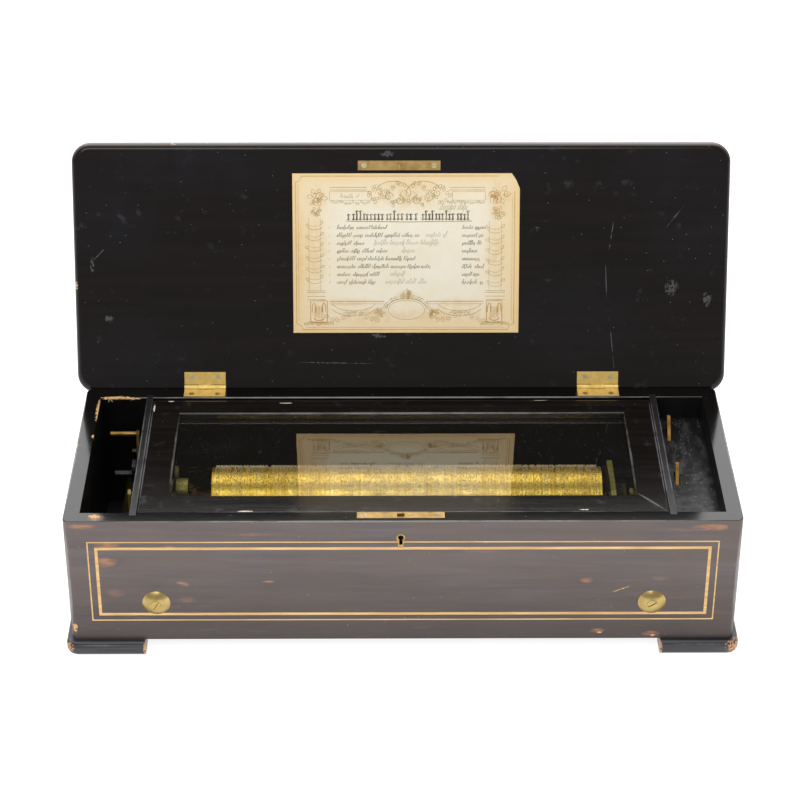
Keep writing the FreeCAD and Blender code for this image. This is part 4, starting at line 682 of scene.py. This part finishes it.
def leaf(card, ink, x, v, length, turn):
    """A leaf drawn as two bowed strokes."""
    c, s = math.cos(math.radians(turn)), math.sin(math.radians(turn))
    for bow in (0.3, -0.3):
        side = [(length * t, bow * length * math.sin(math.pi * t)) for t in (0, 0.25, 0.5, 0.75, 1)]
        card.stroke(ink, [(x + a * c - b * s, v + a * s + b * c) for a, b in side], 0.35)


def box_lines(card, ink, x0, x1, v0, v1, width):
    for line in (((x0, v0), (x1, v0)), ((x1, v0), (x1, v1)), ((x1, v1), (x0, v1)),
                 ((x0, v1), (x0, v0))):
        card.stroke(ink, line, width)


def ornament(card, draw, x, v, size):
    """A knot of scrolls and leaves, printed in ochre and sepia."""
    for i in range(7):
        a = draw.uniform(0, 360)
        r = size * draw.uniform(0.15, 0.75)
        place = (x + r * math.cos(math.radians(a)), v + r * math.sin(math.radians(a)))
        card.stroke(draw.choice(("ochre", "ochre", "sepia")),
                    curl(*place, size * draw.uniform(0.22, 0.5), a, hand=draw.choice((1, -1))), 0.42)
    for i in range(6):
        a = 60 * i + draw.uniform(-15, 15)
        leaf(card, draw.choice(("ochre", "sepia", "olive")), x + 0.4 * size * math.cos(math.radians(a)),
             v + 0.4 * size * math.sin(math.radians(a)), size * draw.uniform(0.45, 0.7), a)


def print_border(card, draw):
    """Border, columns, garland, cartouche and ribbons of an ornamental tune sheet."""
    notch = 5.0
    right, left, top, low = 93.8, -95.2, 67.4, -67.0
    card.line("ochre", left + notch, top, 80.0, top, 0.45)
    for side, other in ((left, left + notch), (right, right - notch)):
        high = top - notch if side < 0 else top - 13.0
        card.line("ochre", side, high, side, low + notch, 0.45)
        card.stroke("ochre", arc(side, low, abs(other - side), notch,
                                 90, 0 if side < 0 else 180, 8), 0.4)
    card.stroke("ochre", arc(left, top, notch, notch, 0, -90, 8), 0.4)
    card.line("ochre", left + notch, low, right - notch, low, 0.45)
    card.line("sepia", left + 2.0, top - 8, left + 2.0, low + 8, 0.25)
    card.line("sepia", right - 2.0, top - 18, right - 2.0, low + 8, 0.25)
    card.line("sepia", left + 8, low + 2.0, right - 8, low + 2.0, 0.25)
    for v in (57.6, 55.4):
        card.line("sepia", -66.0, v, -34.0, v, 0.5)
        card.line("sepia", 37.5, v, 68.5, v, 0.5)
    box_lines(card, "sepia", -66.0, -30.0, 46.5, 54.0, 0.3)
    box_lines(card, "sepia", 40.0, 68.5, 46.5, 54.0, 0.3)
    words(card, draw, "faded", -57.0, -41.0, 49.0, 0.3, 1.7)
    for i in range(15):
        x = -64 + 2.3 * i
        card.stroke("olive", curl(x, 44.5 + draw.uniform(-0.8, 0.8), 1.3, draw.uniform(0, 360)), 0.3)
        card.stroke("olive", curl(36 + 2.2 * i, 44.8 + draw.uniform(-0.8, 0.8), 1.2,
                                  draw.uniform(0, 360)), 0.3)
    ornament(card, draw, -76.6, 49.0, 8.6)
    ornament(card, draw, -77.5, 37.0, 4.5)
    ornament(card, draw, 80.2, 51.6, 9.2)
    ornament(card, draw, 79.2, 35.8, 6.4)
    for x0, x1, v1 in ((-85.2, -73.0, 31.6), (70.9, 83.8, 28.7)):
        card.line("faded", x0 + 1.2, v1, x0 + 1.2, -32.7, 0.3)
        card.line("faded", x1 - 1.2, v1, x1 - 1.2, -32.7, 0.3)
        for i in range(6):
            v = v1 - 4.0 - 9.4 * i
            card.stroke("faded", arc((x0 + x1) / 2, v, 6.6, 3.6, 200, 340, 8), 0.35)
            card.stroke("sepia", arc((x0 + x1) / 2, v - 3.2, 6.6, 3.6, 200, 340, 8), 0.35)
            leaf(card, "olive", x1 - 1.0, v - 2.0, 3.6, 40 + draw.uniform(-25, 25))
            leaf(card, "sepia", x0 + 1.0, v - 4.0, 3.2, 140 + draw.uniform(-25, 25))
    for x0, x1 in ((-85.9, -70.1), (68.8, 86.0)):
        for v in (-32.7, -34.2, -37.5, -40.4):
            card.line("sepia", x0, v, x1, v, 0.45)
    for x0, x1 in ((-83.0, -68.5), (70.0, 83.5)):
        box_lines(card, "ochre", x0, x1, -60.5, -41.5, 0.6)
        middle = (x0 + x1) / 2
        for i in range(6):
            x = middle - 3.4 + 1.35 * i
            card.line("ochre", x, -56.5, x, -46.5, 0.38)
        for hand in (1, -1):
            card.stroke("ochre", arc(middle + hand * 4.4, -50.5, 1.6, 7.0, -100 * hand + 90,
                                     100 * hand + 90, 10), 0.6)
        card.stroke("ochre", arc(middle, -56.5, 4.2, 2.4, 180, 360, 8), 0.7)
        for i in range(9):
            card.stroke(draw.choice(("ochre", "sepia")),
                        curl(x0 - 4 + 2.8 * i, -61.5 + draw.uniform(-0.6, 0.8), 1.7,
                             draw.uniform(0, 360)), 0.45)
    for v in (-42.0, -44.2):
        card.line("ochre", -66.0, v, -19.0, v, 0.55 if v > -43 else 0.3)
        card.line("ochre", 17.5, v, 67.5, v, 0.55 if v > -43 else 0.3)
    card.stroke("faded", arc(0.5, -49.6, 15.8, 8.6, 0, 360, 32), 0.4)
    card.stroke("sepia", arc(0.5, -49.6, 17.6, 10.2, 10, 170, 22), 0.5)
    for i in range(16):
        a = math.radians(12 + 10.5 * i)
        leaf(card, draw.choice(("olive", "sepia")), 0.5 + 17.5 * math.cos(a), -49.6 + 10.4 * math.sin(a),
             3.4, math.degrees(a) + draw.uniform(-30, 30))
    ornament(card, draw, 0.5, -36.0, 5.0)
    for hand in (1, -1):
        middle = 0.5 + hand * 46
        for deep in (0.0, 4.4):
            card.stroke("sepia", arc(middle, -41.0 - deep, 20.0, 9.5, 200, 340, 14), 0.4)
        words(card, draw, "faded", middle - 9, middle + 9, -52.4, 0.28, 1.4)
        for i in range(10):
            card.stroke(draw.choice(("olive", "sepia", "ochre")),
                        curl(middle - 24 + 5 * i, -55.5 - 3 * math.sin(i * 0.9), 2.4,
                             draw.uniform(0, 360)), 0.36)
        ornament(card, draw, 0.5 + hand * 24, -52.5, 4.8)
    for hand in (1, -1):
        card.stroke("sepia", arc(2 + hand * 13, 53, 15, 10, 90 - 80 * hand, 90 + 110 * hand, 18), 0.45)
        card.stroke("olive", curl(2 + hand * 8, 46.5, 4.6, 90, 1.4, hand), 0.5)
        card.stroke("sepia", curl(2 + hand * 17, 49.5, 4.2, 0, 1.4, -hand), 0.5)
        card.stroke("ochre", curl(2 + hand * 25, 53.0, 3.4, 180, 1.2, hand), 0.45)
        for i in range(16):
            leaf(card, draw.choice(("olive", "olive", "sepia")), 2 + hand * (3 + 2.1 * i),
                 57.5 + 3.5 * math.sin(i * 0.7) - 0.35 * i, 4.0, 90 + hand * draw.uniform(-80, 10))
            leaf(card, draw.choice(("olive", "sepia")), 2 + hand * (1.5 + 2.0 * i),
                 45.0 + 3.0 * math.sin(i * 0.8) + 0.3 * i, 3.6, draw.uniform(0, 360))
    card.stroke("faded", arc(-1.5, 50.5, 3.4, 4.6, 0, 360, 20), 0.4)
    card.stroke("faded", arc(6.0, 49.5, 3.2, 4.4, 0, 360, 20), 0.4)


def write_tunes(card, draw):
    """Eight lines of faded illegible handwriting, a short word at the right of each, pencil notes."""
    first, step = 21.6, 6.84
    rows = ((-16.0, 70.0), (10.0, 67.0), (-36.0, 64.5), (-15.0, 61.0), (9.0, 67.0), (20.0, 68.0),
            (-24.0, 63.0), (-27.0, 66.0))
    for i, (title_end, word_end) in enumerate(rows):
        v = first - step * i
        words(card, draw, "ink", -60.0, title_end, v, 0.34)
        card.stroke("pencil", [(-67.0, v), (-66.2, v + 1.0), (-65.6, v + 2.2)], 0.35)
        words(card, draw, "ink", 48.3, word_end, v, 0.36)
    for i, x0, x1 in ((1, 17, 35), (2, -28, 27), (3, -4, 9), (6, -14, -2), (7, -18, 17)):
        words(card, draw, "pencil", x0, x1, first - step * i, 0.26, 2.6)
    words(card, draw, "pencil", 28.5, 52.0, 38.0, 0.3, 4.0)


def flourish(card, draw):
    """A row of heavy strokes over a thin line, where a heading would stand. It spells nothing."""
    low = 29.8
    card.stroke("heading", [(-52, 28.4), (2, 27.6), (57, 28.4)], 0.5)
    x = -50.0
    while x < 55.0:
        tall = draw.choice((4.6, 4.8, 5.0, 5.0, 7.6))
        top = low + tall
        card.stroke("heading", [(x, low), (x + 0.3, low + 0.5 * tall), (x - 0.1, top)], 1.15)
        card.stroke("heading", [(x - 1.0, 30.2), (x + 0.2, 29.3), (x + 1.4, 30.5)], 0.75)
        card.stroke("heading", [(x - 0.9, top - 0.9), (x + 0.4, top + 0.2), (x + 1.9, top - 0.8)], 0.6)
        gap = draw.choice((2.7, 2.9, 3.1, 3.3, 4.4)) if abs(x - 7) > 2 else 6.0
        x += gap


def print_card():
    card = Card()
    draw = random.Random(11)
    print_border(card, draw)
    write_tunes(card, draw)
    flourish(card, draw)
    shades = {"ink": "#5d5244", "heading": "#40382e", "faded": "#b9ad86", "pencil": "#b3aa92",
              "ochre": "#bb842f", "sepia": "#b3924c", "olive": "#a0944d"}
    inks = {}
    for ink, shade in shades.items():
        material, tree, shader = new_finish("print_" + ink, Roughness=0.85, IOR=1.45)
        fade = patches(tree, (7, 7, 7), 0.35, 0.75, detail=4.0, seed=3.0)
        colour = over(tree, linear(shade), linear("#dccda6"), times(tree, fade, 0.55))
        tree.links.new(colour, shader.inputs["Base Color"])
        inks[ink] = material
    card.finish(inks)


# ---- torn wood --------------------------------------------------------------------------
def splinters(name, body, material, seed, top, places):
    """Torn slivers of pale wood that stay under the height top, where the closed lid comes down; a
    place is a middle, spread, length and thickness in metres."""
    draw = random.Random(seed)
    builder = bmesh.new()
    for middle, spread, length, thick, count in places:
        for _ in range(count):
            root = Vector(middle) + Vector([draw.uniform(-s, s) for s in spread])
            way = Vector((draw.uniform(-1, 1), draw.uniform(-0.35, 0.35), draw.uniform(-0.15, 0.3)))
            tip = root + way.normalized() * length * draw.uniform(0.5, 1.2)
            side = way.cross(Vector((0, 0, 1))).normalized() * thick
            lift = Vector((0, 0, thick * 0.6))
            base = [builder.verts.new(root + k * side + m * lift)
                    for k, m in ((-1, -1), (1, -1), (1, 1), (-1, 1))]
            point = builder.verts.new(tip)
            builder.faces.new(base[::-1])
            for i in range(4):
                builder.faces.new((base[i], base[(i + 1) % 4], point))
    for corner in builder.verts:
        corner.co.z = min(corner.co.z, top)
    return new_piece(name, builder, body, material)


# ---- build ------------------------------------------------------------------------------
place_camera()
light_room()
lay_floor()

front_wear = [(on_front(-260, 4.6), (0.014, 0.004, 0.003)), (on_front(-240, 23.3), (0.012, 0.004, 0.004)),
              (on_front(-242.6, 40), (0.011, 0.004, 0.006)), (on_front(-190, 25), (0.006, 0.004, 0.0018)),
              (on_front(-180, 62), (0.007, 0.004, 0.0024), (0, 0.3, 0)),
              (on_front(150, 59.4), (0.007, 0.004, 0.003)), (on_front(251, 6.6), (0.02, 0.004, 0.004)),
              (on_front(-110, 60), (0.006, 0.004, 0.0014)), (on_front(161, 111), (0.007, 0.004, 0.003)),
              (on_front(206, 114), (0.009, 0.004, 0.003)), (on_rim(-248, -96), (0.008, 0.005, 0.002))]
faint_wear = [(on_front(-236, 71.6), (0.010, 0.004, 0.005)), (on_front(-178, 78.7), (0.010, 0.004, 0.004)),
              (on_front(210, 57.4), (0.009, 0.004, 0.003)), (on_front(62, 30), (0.02, 0.004, 0.002)),
              (on_front(-122, 13), (0.03, 0.004, 0.0016)), (on_front(225, 9), (0.03, 0.004, 0.002))]
front_chips = [(on_rim(-250, -94), (0.007, 0.004, 0.002)), (on_front(-274, 103), (0.002, 0.003, 0.005)),
               (on_front(-273, 96), (0.001, 0.003, 0.004)),
               (on_front(163, 113), (0.003, 0.003, 0.0012)), (on_front(208, 116), (0.003, 0.003, 0.0014)),
               (on_front(271, 116), (0.003, 0.003, 0.003)), (on_front(272, 100), (0.001, 0.003, 0.005)),
               (on_front(179, 68.3), (0.0105, 0.002, 0.0007), (0, -0.4, 0))]
# Painted highlight along the front edge of the rim.
front_arris_highlight = [along_x(LEFT, RIGHT, FRONT, RIM, 0.0013)]
front_case = ebonised("ebonised_front", front_wear, faint_wear, front_chips, front_arris_highlight,
                      ("Y", 1))
# Painted highlights along the tops and front corners of both ends.
end_arris_highlights = [along_y(FRONT, back_high.y, LEFT, RIM, 0.0018),
             along_z(FLOOR_OF_CASE, RIM, LEFT + 0.001, FRONT + 0.001, 0.003),
             along_y(FRONT, back_high.y, RIGHT, RIM, 0.0018),
             along_z(FLOOR_OF_CASE, RIM, RIGHT - 0.001, FRONT + 0.001, 0.003)]
end_chips = [along_y(back_low.y - 0.042, back_low.y + 0.002, INNER_LEFT, RIM, 0.0032),
             ((INNER_LEFT, back_low.y - 0.062, RIM), (0.0025, 0.004, 0.003)),
             ((LEFT, back_low.y - 0.075, RIM), (0.002, 0.007, 0.004)),
             ((LEFT + 0.004, FRONT + 0.002, FLOOR_OF_CASE + 0.012), (0.004, 0.004, 0.008))]
left_face = ebonised("ebonised_left_end", front_wear[:2], faint_wear, end_chips, end_arris_highlights,
                     ("X", 1))
right_face = ebonised("ebonised_right_end", front_wear[:2], faint_wear, end_chips, end_arris_highlights,
                      ("X", -1))
back_chips = [along_x(INNER_LEFT - 0.004, INNER_LEFT + 0.034, back_low.y, RIM, 0.003)]
# The back board gets a painted highlight along its top edge.
back_case = ebonised("ebonised_back", front_wear[:1], faint_wear, back_chips,
                     [along_x(LEFT, RIGHT, back_low.y, RIM, 0.0015)], ("Y", -1))
coat("front_board", front_case)
coat("back_board", back_case)
coat("left_end", left_face)
coat("right_end", right_face)

FEET = ("foot_front_left", "foot_front_right", "foot_back_left", "foot_back_right")
foot_edge_highlights = []
foot_chips = []
for name in FEET:
    low, high = span(name)
    outer = low.x if low.x < 0 else high.x
    inner = high.x if low.x < 0 else low.x
    face = low.y if "front" in name else high.y
    # Painted highlight along the upper edge of each foot's face.
    foot_edge_highlights.append(along_x(low.x, high.x, face, high.z - 0.0026, 0.002))
    corner = 0.009 if low.x < 0 else 0.017
    foot_chips.append(((outer, face, 0.008), (corner, corner, 0.009)))
    foot_chips.append(((inner, face, 0.007), (0.0025, 0.02, 0.009)))
feet = black_polish("worn_black_feet", ("#2b2a2f", "#48474d"), foot_edge_highlights, foot_chips, dust=0.8,
                    roughness=0.4, bare="#cf9a68", bite=2.2)
for name in FEET:
    coat(name, feet)

coat("bottom_board", plain_wood("stained_deal", "#0b0909", "#1a1513"))
coat("control_board", dusty_board())
partition_low, partition_high = span("left_partition")
right_wall_low, right_wall_high = span("right_partition")
# Painted highlights along the top edges of the partitions.
partition_edge_highlights = [along_y(partition_low.y, partition_high.y, x, RIM, 0.0014)
                   for x in (partition_low.x, partition_high.x, right_wall_low.x, right_wall_high.x)]
walls = black_polish("black_partitions", ("#141213", "#221f1f"), partition_edge_highlights, [],
                     dust=0.5, roughness=0.35)
coat("left_partition", walls)
coat("right_partition", walls)

coat("stringing", plain_wood("satinwood_line", "#d3a05a", "#f3cc8c", grain=(40, 3, 3),
                             roughness=0.45))

coat("lid_board", lid_lacquer())

glass_low, glass_high = span("glass_pane")
# Painted highlight lines along the edges of the glass frame.
frame_edge_highlights = []
for name in ("glass_frame_left", "glass_frame_right"):
    low, high = span(name)
    inner = high.x if low.x < 0 else low.x
    frame_edge_highlights.append(along_y(glass_low.y + 0.005, glass_high.y - 0.005, inner, high.z, 0.0022))
for name in ("glass_frame_front", "glass_frame_back"):
    low, high = span(name)
    inner = high.y if "front" in name else low.y
    frame_edge_highlights.append(along_x(glass_low.x + 0.005, glass_high.x - 0.005, inner, high.z, 0.0018))
frame_chips = [(on_rim(-190, 34), (0.0012, 0.008, 0.003)), (on_rim(-200, 81), (0.005, 0.0012, 0.003)),
               (on_rim(-128, -86.5), (0.009, 0.0013, 0.004)), (on_rim(147, -85), (0.006, 0.0011, 0.003)),
               (on_rim(120, 82), (0.01, 0.0007, 0.003)), (on_rim(-214, 70), (0.001, 0.01, 0.003)),
               (on_rim(-100, 78), (0.009, 0.0009, 0.003))]
frame_edge_highlights += [(on_rim(204, -75), (0.022, 0.0016, 0.003), (0, 0, -0.87)),
                (on_rim(215, 0), (0.0009, 0.1, 0.003)), (on_rim(-215, 0), (0.0009, 0.1, 0.003)),
                (on_rim(0, -87.6), (0.24, 0.0009, 0.003)), (on_rim(0, 85.6), (0.24, 0.0009, 0.003))]
black_frame = black_polish("black_glass_frame", ("#0f0c0a", "#1b1714"), frame_edge_highlights, frame_chips,
                           dust=0.45, roughness=0.16)
for side in ("left", "right", "front", "back"):
    coat("glass_frame_" + side, black_frame)
coat("glass_pane", pane_glass())
coat("tune_card", paper())

# Lacquered hinge brass is pale yellow, the lock's is dull; the castings have gone olive.
hinge_brass = metal("hinge_brass", "#f0d07c", "#b58f40", roughness=0.4, stain=0.35, metallic=0.55)
dull_brass = metal("dull_brass", "#c4a365", "#86693a", roughness=0.42, stain=0.6, metallic=0.7)
pale_screw = metal("pale_screw", "#dccfa6", "#968a66", roughness=0.4, metallic=0.6)
cast_brass = metal("cast_brass", "#b7a659", "#6a6133", roughness=0.42, stain=0.6, metallic=0.6)
darkened_bed = metal("darkened_bed", "#4d4627", "#17150e", roughness=0.5, stain=0.9)
dark_bronze = metal("dark_bronze", "#4a3423", "#241a12", roughness=0.5, stain=0.8)
# Wheels are clean brass, the levers browner where nobody holds them.
wheel_brass = metal("wheel_brass", "#d5ab52", "#8d6d31", roughness=0.3)
lever_brass = metal("lever_brass", "#97733a", "#4d381a", roughness=0.32, metallic=0.9)
dark_lever = metal("dark_lever_brass", "#5e4a24", "#2e2412", roughness=0.4, stain=0.8)
# Steel is grey where it is dry and nearly black where it is oiled.
steel = metal("blued_grey_steel", "#8f9093", "#4e4f52", roughness=0.35)
oily_steel = metal("oily_dark_steel", "#3d3e43", "#17181b", roughness=0.4, stain=0.8)
screw_steel = metal("screw_steel", "#b9a989", "#6d6350", roughness=0.35)
# The domed washers and their screws were turned smooth.
washer_brass = metal("washer_brass", "#c4ab6e", "#8f7a48", roughness=0.24, brushed=(9, 9, 9),
                     stain=0.3, filed=0.003)
for finish, names in (
        (hinge_brass, ("hinge_case_leaves", "hinge_lid_leaves")),
        (dull_brass, ("key_escutcheon", "lock", "lid_keeper", "lever_pivots")),
        (pale_screw, ("lid_small_screws",)),
        (cast_brass, ("left_bearing", "right_bearing", "barrel_cocks", "governor_frame", "comb_base",
                      "holding_post")),
        (darkened_bed, ("bedplate",)),
        (cylinder_brass(), ("cylinder_shell",)),
        (dark_bronze, ("tune_snail", "governor_drive_wheel")),
        (wheel_brass, ("spring_barrel", "worm_wheel", "fan")),
        (dark_lever, ("winding_lever",)),
        (lever_brass, ("winding_handle", "change_lever", "stop_lever")),
        (steel, ("cylinder_arbor", "governor_pinion_arbor", "worm", "comb", "lock_bolt",
                 "hinge_pins", "glass_pivot_pins")),
        (oily_steel, ("winding_arbor", "ratchet_wheel", "lever_click", "holding_click")),
        (washer_brass, ("bed_cup_washers", "bed_screws")),
        (screw_steel, ("bracket_screws", "case_small_screws", "comb_screws"))):
    for name in names:
        coat(name, finish)

# The pins are made near white and barely metallic: a painted highlight for steel pins glinting in light
# from above.
cylinder_pins(metal("pin_steel_painted_glint", "#fbf0cf", "#dcc58a", roughness=0.45, stain=0.2, metallic=0.15))
print_card()
pale_wood = plain_wood("torn_pale_wood", "#e3b878", "#f2d7a8", grain=(8, 2, 2), roughness=0.8)
lock_low, lock_high = span("lock")
lock_x = (lock_low.x + lock_high.x) / 2
UNDER_LID = RIM + 0.25 * MM
splinters("back_wall_splinters", "case", pale_wood, 5, UNDER_LID,
          [((INNER_LEFT + 0.018, back_low.y, RIM - 0.0006), (0.015, 0.0008, 0.0005), 0.0045, 0.0004, 48),
           ((INNER_LEFT + 0.017, back_low.y + 0.001, RIM), (0.001, 0.001, 0.0005), 0.007, 0.0004, 3)])
splinters("lock_splinters", "case", pale_wood, 3, UNDER_LID,
          [((lock_x + 0.008, lock_high.y - 0.0035, RIM), (0.0015, 0.001, 0.0002), 0.003, 0.0004, 7)])
